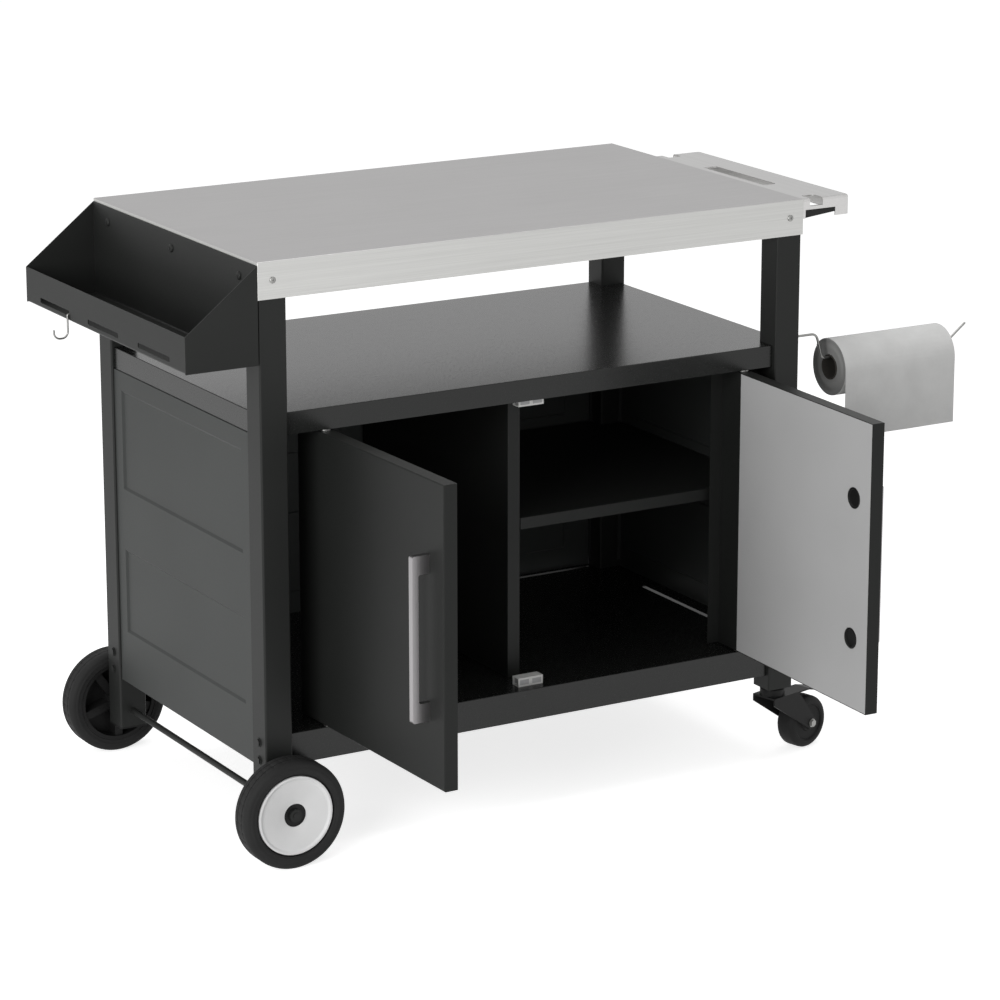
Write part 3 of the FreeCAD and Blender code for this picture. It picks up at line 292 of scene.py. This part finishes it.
AXES = {"X": Vector((1, 0, 0)), "Y": Vector((0, 1, 0)), "Z": Vector((0, 0, 1))}
TURNS = {"X": (0.0, math.pi / 2, 0.0), "Y": (math.pi / 2, 0.0, 0.0), "Z": (0.0, 0.0, 0.0)}
ON_FACE = 2e-5            # metres from a plane that still count as on it
NEAR_POINT = 2e-4
ON_AXIS = 1e-4
LEVEL = 1e-6              # metres by which a level edge may rise
FACET_SAG = 0.004         # share of its radius by which a round edge's middle may fall short


def mm(*values):
    return Vector(values) * MM


def deselect():
    """Leaves edit mode and deselects everything."""
    active = bpy.context.view_layer.objects.active
    if active and active.mode == "EDIT":
        bpy.ops.object.mode_set(mode="OBJECT")
    bpy.ops.object.select_all(action="DESELECT")


def pick(piece):
    deselect()
    piece.select_set(True)
    bpy.context.view_layer.objects.active = piece


def apply_place(piece):
    pick(piece)
    bpy.ops.object.transform_apply(location=True, rotation=True, scale=True)


def edit(piece):
    apply_place(piece)
    bpy.ops.object.mode_set(mode="EDIT")
    return piece


def round_blank(radius, depth, centre, axis, sides):
    deselect()
    bpy.ops.mesh.primitive_cylinder_add(vertices=sides, radius=radius * MM, depth=depth * MM,
                                        location=centre, rotation=TURNS[axis])
    return edit(bpy.context.object)


def choose(piece, test, kind="FACE"):
    """Selects the faces, or edges, whose middle and direction (normal) pass the test."""
    bpy.ops.mesh.select_mode(type=kind)
    bpy.ops.mesh.select_all(action="DESELECT")
    mesh = bmesh.from_edit_mesh(piece.data)
    if kind == "FACE":
        found = [f for f in mesh.faces if test(f.calc_center_median(), f.normal)]
    else:
        found = [e for e in mesh.edges
                 if test((e.verts[0].co + e.verts[1].co) / 2, e.verts[1].co - e.verts[0].co)]
    for item in found:
        item.select_set(True)
    bmesh.update_edit_mesh(piece.data)
    return found


def choose_end(piece, point, direction):
    """Selects the flat face at the point that looks along the direction."""
    return choose(piece, lambda m, n: n.dot(direction) > 0.99
                  and abs((m - point).dot(direction)) < ON_FACE
                  and (m - point).length < NEAR_POINT)


def inset(*rings):
    """Insets the chosen faces ring by ring; a ring is its way inwards and its rise, in mm."""
    for inwards, rise in rings:
        bpy.ops.mesh.inset(thickness=inwards * MM, depth=rise * MM)


def grow(centre, direction, profile):
    """Extrudes the chosen round face ring by ring; a ring is a radius and a height, in mm.

    The profile's first ring is the edge of that face."""
    radius, height = profile[0]
    for next_radius, next_height in profile[1:]:
        rise = direction * (next_height - height) * MM
        bpy.ops.mesh.extrude_region_move(TRANSFORM_OT_translate={"value": rise})
        share = next_radius / radius
        bpy.ops.transform.resize(value=(share, share, share),
                                 center_override=centre + direction * next_height * MM)
        radius, height = next_radius, next_height


def round_rims(piece, axis, width, segments):
    """Rounds the two edges of a fresh blank."""
    choose(piece, lambda m, d: abs(d.dot(AXES[axis])) < LEVEL, "EDGE")
    bpy.ops.mesh.bevel(offset=width * MM, segments=segments, profile=0.5, affect="EDGES")


def ring_ends(piece, centre, axis, width, rings):
    """Draws the rings on both flat ends."""
    for side in (-1, 1):
        way = AXES[axis] * side
        choose_end(piece, centre + way * (width / 2 * MM), way)
        inset(*rings)


def open_bore(piece, centre, axis, radius):
    """Takes out the two round faces left in the middle and bridges their edges into a bore."""
    way = AXES[axis]

    def off_axis(m):
        arm = m - centre
        return (arm - way * arm.dot(way)).length

    choose(piece, lambda m, n: abs(n.dot(way)) > 0.99 and off_axis(m) < ON_AXIS)
    bpy.ops.mesh.delete(type="ONLY_FACE")
    choose(piece, lambda m, d: abs(d.dot(way)) < LEVEL
           and abs(off_axis(m) - radius * MM) < FACET_SAG * radius * MM, "EDGE")
    bpy.ops.mesh.bridge_edge_loops()


def cut_with(piece, cutter):
    """Takes the cutter out of the piece with a boolean modifier, and drops the cutter."""
    pick(piece)
    cut = piece.modifiers.new("cut", "BOOLEAN")
    cut.operation = "DIFFERENCE"
    cut.solver = "EXACT"
    cut.object = cutter
    bpy.ops.object.modifier_apply(modifier=cut.name)
    bpy.data.objects.remove(cutter)


def soften(piece, width, segments=2, angle=35.0):
    """Rounds the sharp edges with a bevel modifier, applied."""
    pick(piece)
    rounding = piece.modifiers.new("round", "BEVEL")
    rounding.width = width * MM
    rounding.segments = segments
    rounding.limit_method = "ANGLE"
    rounding.angle_limit = math.radians(angle)
    bpy.ops.object.modifier_apply(modifier=rounding.name)


def close_up(piece, material, angle=40.0):
    """Leaves edit mode with the faces outward, smooth up to the angle, in the material."""
    if piece.mode != "EDIT":
        edit(piece)
    bpy.ops.mesh.select_all(action="SELECT")
    bpy.ops.mesh.remove_doubles(threshold=1e-6)
    bpy.ops.mesh.normals_make_consistent(inside=False)
    bpy.ops.object.mode_set(mode="OBJECT")
    bpy.ops.object.shade_smooth_by_angle(angle=math.radians(angle))
    piece.data.materials.clear()
    piece.data.materials.append(material)
    return piece


def twin(piece, place=(0, 0, 0), turn=(0, 0, 0), size=1.0):
    """A copy with its own mesh, turned about the origin and moved."""
    other = piece.copy()
    other.data = piece.data.copy()
    bpy.context.scene.collection.objects.link(other)
    other.location = place
    other.rotation_euler = turn
    other.scale = (size, size, size)
    apply_place(other)
    return other


def twin_and_drop(piece, place, turn=(0, 0, 0)):
    other = twin(piece, place, turn)
    bpy.data.objects.remove(piece)
    return other


def joined(pieces):
    pick(pieces[0])
    for piece in pieces:
        piece.select_set(True)
    bpy.ops.object.join()
    return pieces[0]


def add_to_model(piece, name, body, slot, *replaced):
    piece.name = name
    piece.data.name = name
    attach(piece, body)
    if replaced:
        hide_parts(*replaced)


# Road wheels

WHEEL = mm(-450.5, -312.5, 84.5)
TYRE_SIDES = 144
TYRE_RADIUS = 84.5
TYRE_WIDTH = 40.0
TYRE_SHOULDER = 8.0
TYRE_BORE = 64.0
SIDEWALL_RINGS = ((1.4, 0.0), (0.7, 0.5), (3.2, 0.0), (0.7, -0.5), (4.3, 0.0), (0.9, -1.0),
                  (1.3, 0.0))
GROOVE_NEAR = 5.4         # from the middle of the tread to the near edge of a groove
GROOVE_FAR = 6.6
GROOVE_RADIUS = 83.0      # at the floor of a groove
ON_TREAD = 82.0           # from the axle; the whole tread is further off
ON_BLOCKS = 83.8          # its blocks are further off, and the floors of its grooves nearer
BLOCK_SIDES = 4           # facets of the tread from one cross groove to the next
CROSS_GROOVE = (0.7, -0.5)
COVER_SIDES = 128
COVER_RADIUS = 61.0
COVER_FRONT = 20.0        # from the wheel's middle to the face of the cover's rim
COVER_BACK = 15.0
COVER_DISH = ((3.0, 0.0), (0.6, -0.3), (2.0, -2.4), (1.0, -0.3))
COVER_ROUND = 0.5
WINDOW_RADIUS = 18.0


def off_wheel(point):
    return math.hypot(point.x - WHEEL.x, point.z - WHEEL.z) / MM


def on_tread(m, n):
    return off_wheel(m) > ON_TREAD and abs(n.y) < 0.1


def model_tyre():
    piece = round_blank(TYRE_RADIUS, TYRE_WIDTH, WHEEL, "Y", TYRE_SIDES)
    round_rims(piece, "Y", TYRE_SHOULDER, segments=5)
    ring_ends(piece, WHEEL, "Y", TYRE_WIDTH, SIDEWALL_RINGS)
    open_bore(piece, WHEEL, "Y", TYRE_BORE)
    for y in (-GROOVE_FAR, -GROOVE_NEAR, GROOVE_NEAR, GROOVE_FAR):
        bpy.ops.mesh.select_all(action="SELECT")
        bpy.ops.mesh.bisect(plane_co=WHEEL + mm(0, y, 0), plane_no=(0, 1, 0))
    choose(piece, lambda m, n: on_tread(m, n)
           and GROOVE_NEAR < abs(m.y - WHEEL.y) / MM < GROOVE_FAR)
    bpy.ops.mesh.extrude_region_move()
    share = GROOVE_RADIUS / TYRE_RADIUS
    bpy.ops.transform.resize(value=(share, 1, share), center_override=WHEEL)
    step = 2 * math.pi / TYRE_SIDES

    def in_cross_groove(m, n):
        turn = round(math.atan2(m.z - WHEEL.z, m.x - WHEEL.x) / step - 0.5)
        return on_tread(m, n) and off_wheel(m) > ON_BLOCKS and turn % BLOCK_SIDES == 0

    choose(piece, in_cross_groove)
    inset(CROSS_GROOVE)
    return close_up(piece, tyre_rubber)


def model_cover():
    """A bare dished disc with a raised rim and a plain round window over the axle nut."""
    middle = (COVER_FRONT + COVER_BACK) / 2
    floor_radius = COVER_RADIUS - sum(inwards for inwards, rise in COVER_DISH)
    piece = round_blank(COVER_RADIUS, COVER_FRONT - COVER_BACK, WHEEL + mm(0, -middle, 0), "Y",
                        COVER_SIDES)
    choose_end(piece, WHEEL + mm(0, -COVER_FRONT, 0), Vector((0, -1, 0)))
    inset(*COVER_DISH, (floor_radius - WINDOW_RADIUS, 0.0))
    choose_end(piece, WHEEL + mm(0, -COVER_BACK, 0), Vector((0, 1, 0)))
    inset((COVER_RADIUS - WINDOW_RADIUS, 0.0))
    open_bore(piece, WHEEL, "Y", WINDOW_RADIUS)
    soften(piece, COVER_ROUND)
    return close_up(piece, cover_plastic)


def add_wheels():
    turned_round = (0, 0, math.pi)
    over = (2 * WHEEL.x, 0, 0)
    for model, kind, slot in ((model_tyre, "tyre", "tyre_rubber"),
                              (model_cover, "cover", "cover_plastic")):
        front = model()
        rear = twin(front, over, turned_round)
        add_to_model(front, "front_wheel_" + kind, "front_road_wheel", slot,
                     "wheel_front_" + kind)
        add_to_model(rear, "rear_wheel_" + kind, "rear_road_wheel", slot, "wheel_rear_" + kind)


# Screws and bolts, drawn with the head's seat at the origin and the head towards +Z

UP = Vector((0, 0, 1))
ORIGIN = Vector((0, 0, 0))
SCREW_HEAD = ((5.0, 0.8), (4.6, 1.4), (3.8, 1.85), (2.8, 2.1), (1.6, 2.2))
SCREW_SHANK = ((5.0, 0.0), (1.9, 0.0), (1.9, 8.4), (1.0, 9.0))
RECESS_BAR = (4.6, 0.9, 1.6)
RECESS_MIDDLE = 1.9
RECESS_TAPER = 0.6        # the bar's size at its foot over its size at the mouth
WASHER = ((7.4, 0.9), (6.2, 1.15), (6.0, 1.15))
BOLT_SHANK = ((7.4, 0.0), (3.0, 0.0), (3.0, 51.5))
HEXAGON_RADIUS = 6.0
BOLT_HEXAGONS = ((1.0, 3.2), (-51.5, -46.5))      # foot and top of the head, and of the nut
HEXAGON_SHARP = 30.0      # degrees past which a nut's edges are shaded sharp


def model_screw():
    radius, rim = SCREW_HEAD[0]
    piece = round_blank(radius, rim, mm(0, 0, rim / 2), "Z", sides=32)
    choose_end(piece, mm(0, 0, rim), UP)
    grow(ORIGIN, UP, SCREW_HEAD)
    choose_end(piece, ORIGIN, -UP)
    grow(ORIGIN, -UP, SCREW_SHANK)
    for turn in (0.0, math.pi / 2):
        deselect()
        bpy.ops.mesh.primitive_cube_add(size=1.0, location=mm(0, 0, RECESS_MIDDLE))
        cutter = bpy.context.object
        cutter.scale = mm(*RECESS_BAR)
        cutter.rotation_euler = (0, 0, turn)
        edit(cutter)
        choose(cutter, lambda m, n: n.z < -0.9)
        bpy.ops.transform.resize(value=(RECESS_TAPER, RECESS_TAPER, 1.0))
        cut_with(piece, cutter)
    return close_up(piece, zinc)


def model_bolt():
    radius, thickness = WASHER[0]
    piece = round_blank(radius, thickness, mm(0, 0, thickness / 2), "Z", sides=32)
    choose_end(piece, mm(0, 0, thickness), UP)
    grow(ORIGIN, UP, WASHER)
    choose_end(piece, ORIGIN, -UP)
    grow(ORIGIN, -UP, BOLT_SHANK)
    for foot, top in BOLT_HEXAGONS:
        bpy.ops.mesh.primitive_cylinder_add(vertices=6, radius=HEXAGON_RADIUS * MM,
                                            depth=(top - foot) * MM,
                                            location=mm(0, 0, (foot + top) / 2))
    return close_up(piece, black_coat, angle=HEXAGON_SHARP)


def set_of(model, places, size=1.0):
    """Copies of a screw on their seats, joined; a place is a point and the way the head looks."""
    copies = [twin(model, mm(*point), Vector(way).to_track_quat("Z", "Y").to_euler(), size)
              for point, way in places]
    return joined(copies)


# Seats of the fasteners; a spread is from the middle of a pair to each of the two

APRON_SCREWS = (450.5, 282.5, 888.0)      # one at each corner of the worktop
GRIP_SCREWS = (477.0, -63.5, 899.3)
GRIP_SPREAD_Y = 139.25
ROD_SCREWS = (476.0, -258.0, 691.0)
ROD_SPREAD_Z = 19.0
BACK_SCREWS_X = (-285, -95, 95, 285)
BACK_SCREWS_YZ = (274.0, 167.5)
TRAY_SCREWS_Y = (-226.5, 0.0, 226.5)
TRAY_SCREWS_XZ = (-476.5, 887.0)
TRAY_SCREW_SIZE = 1.3                     # over the size of the other screws
POST_BOLTS = (473.0, 258.0, 167.5)
POST_BOLT_SPREAD_Z = 14.0


def bright_screw_places():
    x, y, z = APRON_SCREWS
    apron = [((sx * x, sy * y, z), (0, sy, 0)) for sx in (-1, 1) for sy in (-1, 1)]
    x, y, z = GRIP_SCREWS
    grip = [((x, y + k * GRIP_SPREAD_Y, z), (1, 0, 0)) for k in (-1, 1)]
    x, y, z = ROD_SCREWS
    rod = [((x, y, z + k * ROD_SPREAD_Z), (1, 0, 0)) for k in (-1, 1)]
    y, z = BACK_SCREWS_YZ
    back = [((x, y, z), (0, 1, 0)) for x in BACK_SCREWS_X]
    return apron + grip + rod + back


def tray_screw_places():
    x, z = TRAY_SCREWS_XZ
    return [((x, y, z), (-1, 0, 0)) for y in TRAY_SCREWS_Y]


def post_bolt_places():
    x, y, z = POST_BOLTS
    return [((sx * x, sy * y, z + k * POST_BOLT_SPREAD_Z), (sx, 0, 0))
            for sx in (-1, 1) for sy in (-1, 1) for k in (-1, 1)]


def add_fasteners():
    screw = model_screw()
    bright = set_of(screw, bright_screw_places())
    add_to_model(bright, "frame_screw_set", "cart", "zinc", "frame_screws")
    dark = set_of(screw, tray_screw_places(), TRAY_SCREW_SIZE)
    dark.data.materials.clear()
    dark.data.materials.append(black_coat)
    add_to_model(dark, "tray_screw_set", "cart", "frame_black", "frame_screws")
    bpy.data.objects.remove(screw)
    bolt = model_bolt()
    bolts = set_of(bolt, post_bolt_places())
    add_to_model(bolts, "post_bolt_set", "cart", "frame_black", "post_bolts")
    bpy.data.objects.remove(bolt)


# Hole plugs in the door liners, drawn on a shut door and turned open with it

PLUG_DEPTH = 2.7
PLUG_DOME = ((14.7, 11.0), (16.4, 11.0), (16.4, 11.4), (15.6, 12.0), (13.4, 12.0), (12.8, 11.2),
             (12.4, 9.6), (3.0, 9.3))
PLUG_HEIGHTS = (305.0, 525.0)
PIVOT_Y = -265.5
DOOR_OPEN = 88.5          # degrees
# Side, which way along X the shut door reaches, where its pivot is, and how far off are its plugs
DOORS = (("left", 1, -359.0, 312.0), ("right", -1, 379.0, 332.0))


def model_plug():
    radius, face = PLUG_DOME[0]
    back = Vector((0, 1, 0))
    piece = round_blank(radius, PLUG_DEPTH, mm(0, face - PLUG_DEPTH / 2, 0), "Y", sides=48)
    choose_end(piece, mm(0, face, 0), back)
    grow(ORIGIN, back, PLUG_DOME)
    return close_up(piece, black_plastic)


def add_plugs():
    plug = model_plug()
    swing = math.radians(-DOOR_OPEN)
    for side, sign, pivot_x, reach in DOORS:
        shut = joined([twin(plug, mm(sign * reach, 0, z)) for z in PLUG_HEIGHTS])
        hung = twin_and_drop(shut, mm(pivot_x, PIVOT_Y, 0), (0, 0, sign * swing))
        add_to_model(hung, side + "_door_plug_pair", side + "_door", "plug_black",
                     "door_" + side + "_plugs")
    bpy.data.objects.remove(plug)


# Caster wheels and bolts, drawn with the swivel axis at the origin and trailing along +X

CASTER = mm(73.0, 0, 43.0)
CASTER_RADIUS = 43.0
CASTER_WIDTH = 36.0
CASTER_SHOULDER = 9.0
CASTER_BORE = 4.05
CASTER_RINGS = ((2.0, 0.0), (0.8, -0.8), (1.4, 0.0), (1.0, -2.0), (13.0, 0.0), (1.0, 2.2),
                (5.0, 0.0), (5.75, 0.0))
AXLE_RADIUS = 4.0
AXLE_SEAT = 23.5          # from the wheel's middle to the outside of the fork
# Sides, radius and thickness of the washer and of the nut on it, and the rings of their faces
AXLE_STACK = ((32, 7.0, 1.0, ((0.5, 0.0),)), (6, 6.0, 3.0, ((1.0, 0.0), (0.6, 0.3))))
CASTER_X = 450.5
CASTER_Y = (("front", -258.0), ("rear", 258.0))
CASTER_TRAIL = 15.0       # degrees from +X at rest


def model_caster_wheel():
    piece = round_blank(CASTER_RADIUS, CASTER_WIDTH, CASTER, "Y", sides=96)
    round_rims(piece, "Y", CASTER_SHOULDER, segments=5)
    ring_ends(piece, CASTER, "Y", CASTER_WIDTH, CASTER_RINGS)
    open_bore(piece, CASTER, "Y", CASTER_BORE)
    return close_up(piece, caster_rubber)


def model_caster_bolt():
    piece = round_blank(AXLE_RADIUS, 2 * AXLE_SEAT, CASTER, "Y", sides=24)
    for side in (-1, 1):
        way = Vector((0, side, 0))
        seat = CASTER + mm(0, AXLE_SEAT * side, 0)
        for sides, radius, thickness, rings in AXLE_STACK:
            bpy.ops.mesh.primitive_cylinder_add(
                vertices=sides, radius=radius * MM, depth=thickness * MM,
                location=seat + way * (thickness / 2 * MM), rotation=TURNS["Y"])
            seat = seat + way * (thickness * MM)
            choose_end(piece, seat, way)
            inset(*rings)
    return close_up(piece, zinc, angle=HEXAGON_SHARP)


def add_casters():
    turn = (0, 0, math.radians(CASTER_TRAIL))
    for model, kind, slot, body in ((model_caster_wheel, "wheel", "caster_tread", "wheel"),
                                    (model_caster_bolt, "bolt", "zinc", "fork")):
        drawn = model()
        for place, y in CASTER_Y:
            piece = twin(drawn, mm(CASTER_X, y, 0), turn)
            add_to_model(piece, place + "_caster_" + kind + "_moulded", place + "_caster_" + body,
                         slot, "caster_" + place + "_" + kind)
        bpy.data.objects.remove(drawn)


# Paper roll on its card core, and the loose end of the paper

ROLL = mm(653.5, -258.0, 633.8)
ROLL_RADIUS = 46.0
ROLL_WIDTH = 213.0
ROLL_EDGE = 1.2
ROLL_BORE = 20.1
ROLL_SLICES = 16          # along the roll, so that the slack has edges to bend at
ROLL_SLACK = 0.9
PLY_RINGS = ((3.0, 0.0), (0.8, -0.5), (5.0, 0.0), (0.8, 0.35), (6.0, 0.0), (0.8, -0.4),
             (5.0, 0.0), (1.4, -0.5), (1.9, 0.0))
IN_BORE = 24.0            # faces nearer to the axis are in the wound end's material
CORE_RADIUS = 20.0
CORE_BORE = 18.5
CORE_LIP = ((0.4, 0.15), (0.7, 0.0), (0.4, -0.15))
TAIL_HANG = 106.0
TAIL_WRAP = 114.0
TAIL_RADIUS = 46.6
TAIL_CUTS = 59
TAIL_PLY = 0.5
TAIL_CURL = 0.8           # share of the wave that shows at the hanging edge


def off_roll(point):
    return math.hypot(point.y - ROLL.y, point.z - ROLL.z) / MM


def loosen(piece):
    """Lets the winding sink here and there by up to ROLL_SLACK."""
    pick(piece)
    cloud = bpy.data.textures.new("soft_winding", "CLOUDS")
    cloud.noise_scale = 0.05
    slack = piece.modifiers.new("slack", "DISPLACE")
    slack.texture = cloud
    slack.texture_coords = "GLOBAL"
    slack.strength = ROLL_SLACK * MM
    slack.mid_level = 1.0
    bpy.ops.object.modifier_apply(modifier=slack.name)


def model_roll():
    piece = round_blank(ROLL_RADIUS, ROLL_WIDTH, ROLL, "X", sides=128)
    round_rims(piece, "X", ROLL_EDGE, segments=2)
    ring_ends(piece, ROLL, "X", ROLL_WIDTH, PLY_RINGS)
    open_bore(piece, ROLL, "X", ROLL_BORE)
    for k in range(1, ROLL_SLICES):
        x = -ROLL_WIDTH / 2 + ROLL_WIDTH * k / ROLL_SLICES
        bpy.ops.mesh.select_all(action="SELECT")
        bpy.ops.mesh.bisect(plane_co=ROLL + mm(x, 0, 0), plane_no=(1, 0, 0))
    loosen(piece)
    close_up(piece, towel)
    # The ends and the bore take the end material, whose darker grey is painted shade.
    piece.data.materials.append(shaded_roll_end)
    for face in piece.data.polygons:
        if abs(face.normal.x) > 0.6 or off_roll(face.center) < IN_BORE:
            face.material_index = 1
    return piece


def model_core():
    piece = round_blank(CORE_RADIUS, ROLL_WIDTH, ROLL, "X", sides=64)
    ring_ends(piece, ROLL, "X", ROLL_WIDTH, CORE_LIP)
    open_bore(piece, ROLL, "X", CORE_BORE)
    return close_up(piece, core_card)


def model_tail():
    """A plane at the sheet's size, wrapped over the top of the roll and hung from its front."""
    deselect()
    length = TAIL_HANG + TAIL_WRAP
    bpy.ops.mesh.primitive_plane_add(
        size=1.0, location=ROLL + mm(0, -TAIL_RADIUS, TAIL_WRAP - length / 2),
        rotation=(math.pi / 2, 0, 0))
    piece = bpy.context.object
    piece.scale = mm(ROLL_WIDTH, length, 1.0)
    edit(piece)
    bpy.ops.mesh.subdivide(number_cuts=TAIL_CUTS)
    mesh = bmesh.from_edit_mesh(piece.data)
    for vertex in mesh.verts:
        rise = (vertex.co.z - ROLL.z) / MM
        along = (vertex.co.x - ROLL.x) / (ROLL_WIDTH / 2 * MM)
        if rise > 0:
            turn = rise / TAIL_RADIUS
            radius = TAIL_RADIUS - 0.35 * rise / TAIL_WRAP
            vertex.co.y = ROLL.y - radius * math.cos(turn) * MM
            vertex.co.z = ROLL.z + radius * math.sin(turn) * MM
        else:
            drop = -rise / TAIL_HANG
            wave = 0.9 * math.sin(3.0 * along + 1.0) + 0.35 * math.sin(9.0 * along)
            vertex.co.y -= (wave + 0.9) * drop * drop * MM * TAIL_CURL
    bmesh.update_edit_mesh(piece.data)
    pick(piece)
    sheet = piece.modifiers.new("ply", "SOLIDIFY")
    sheet.thickness = TAIL_PLY * MM
    sheet.offset = 0.0
    bpy.ops.object.modifier_apply(modifier=sheet.name)
    return close_up(piece, towel, angle=60.0)


def add_towel():
    add_to_model(model_roll(), "towel_roll_wound", "towel_roll", "towel_paper", "paper_roll")
    add_to_model(model_core(), "towel_roll_core", "towel_roll", "core_card", "roll_core")
    tail = model_tail()
    add_to_model(tail, "towel_tail_sheet", "cart", "towel_paper", "paper_tail")


# Camera, lamps, surround and floor, in metres

# Name, place, what it lights, width and height, and power in watts
STUDIO_LAMPS = (
    ("left_softbox", (-3.4, -2.1, 1.6), (0.0, 0.0, 0.5), (2.2, 1.8), 98.0),
    ("front_softbox", (-0.4, -4.2, 1.2), (0.0, 0.0, 0.6), (2.4, 1.4), 12.0),
    ("top_softbox", (0.2, 0.3, 3.4), (0.0, 0.0, 0.5), (2.4, 2.4), 48.0),
)
WHITE = (1, 1, 1, 1)
WORLD_LIGHT = 0.35
FLOOR_GLOW = 0.74
FLOOR_SIZE = 40.0
FLOOR_DROP = 0.0005       # under the wheels


def add_camera():
    """The camera looks from the photograph's viewing angle."""
    lens = bpy.data.cameras.new("camera")
    lens.lens = 139.8
    lens.sensor_width = 36.0
    lens.clip_end = 100.0
    camera = bpy.data.objects.new("camera", lens)
    camera.location = (-2.9233, -5.1786, 2.0716)
    camera.rotation_euler = (math.radians(74.56), 0.0, math.radians(-30.22))
    bpy.context.scene.collection.objects.link(camera)
    bpy.context.scene.camera = camera


def add_lamp(name, place, target, size, power):
    lamp = bpy.data.lights.new(name, "AREA")
    lamp.shape = "RECTANGLE"
    lamp.size, lamp.size_y = size
    lamp.energy = power
    holder = bpy.data.objects.new(name, lamp)
    holder.location = place
    aim = Vector(target) - Vector(place)
    holder.rotation_euler = aim.to_track_quat("-Z", "Y").to_euler()
    bpy.context.scene.collection.objects.link(holder)


def seen_rays(tree):
    """1 for a ray from the camera, off a glossy face or through a clear one, and else 0."""
    path = put(tree, "ShaderNodeLightPath").outputs
    seen = put(tree, "ShaderNodeMath", {"operation": "MAXIMUM"},
               {0: path["Is Camera Ray"], 1: path["Is Glossy Ray"]})
    return put(tree, "ShaderNodeMath", {"operation": "MAXIMUM"},
               {0: seen.outputs[0], 1: path["Is Transmission Ray"]}).outputs[0]


def add_surround():
    """Seen as white, and lighting the object at WORLD_LIGHT."""
    world = bpy.data.worlds.new("studio")
    bpy.context.scene.world = world
    world.use_nodes = True
    tree = world.node_tree
    tree.nodes.clear()
    soft = put(tree, "ShaderNodeBackground", inputs={"Color": WHITE, "Strength": WORLD_LIGHT})
    white = put(tree, "ShaderNodeBackground", inputs={"Color": WHITE, "Strength": 1.0})
    both = put(tree, "ShaderNodeMixShader",
               inputs={0: seen_rays(tree), 1: soft.outputs[0], 2: white.outputs[0]})
    put(tree, "ShaderNodeOutputWorld", inputs={"Surface": both.outputs[0]})


def add_floor():
    """A pale floor that keeps the object's shadow, and glows white only to seen rays."""
    deselect()
    bpy.ops.mesh.primitive_plane_add(size=FLOOR_SIZE, location=(0.0, 0.0, -FLOOR_DROP))
    floor = bpy.context.object
    floor.name = "studio_floor"
    made, tree = new_material("matt_white_studio_floor")
    paint = put(tree, "ShaderNodeBsdfDiffuse", inputs={"Color": linear("#e6e6e6")})
    glow = put(tree, "ShaderNodeEmission", inputs={"Color": WHITE, "Strength": FLOOR_GLOW})
    lit = put(tree, "ShaderNodeAddShader", inputs={0: paint.outputs[0], 1: glow.outputs[0]})
    both = put(tree, "ShaderNodeMixShader",
               inputs={0: seen_rays(tree), 1: paint.outputs[0], 2: lit.outputs[0]})
    output(tree, both)
    floor.data.materials.append(made)


def add_studio():
    for lamp in STUDIO_LAMPS:
        add_lamp(*lamp)
    add_surround()
    add_floor()


dress_cad_nodes()
add_wheels()
add_fasteners()
add_plugs()
add_casters()
add_towel()
add_camera()
add_studio()

bpy.context.scene.view_settings.view_transform = "Standard"
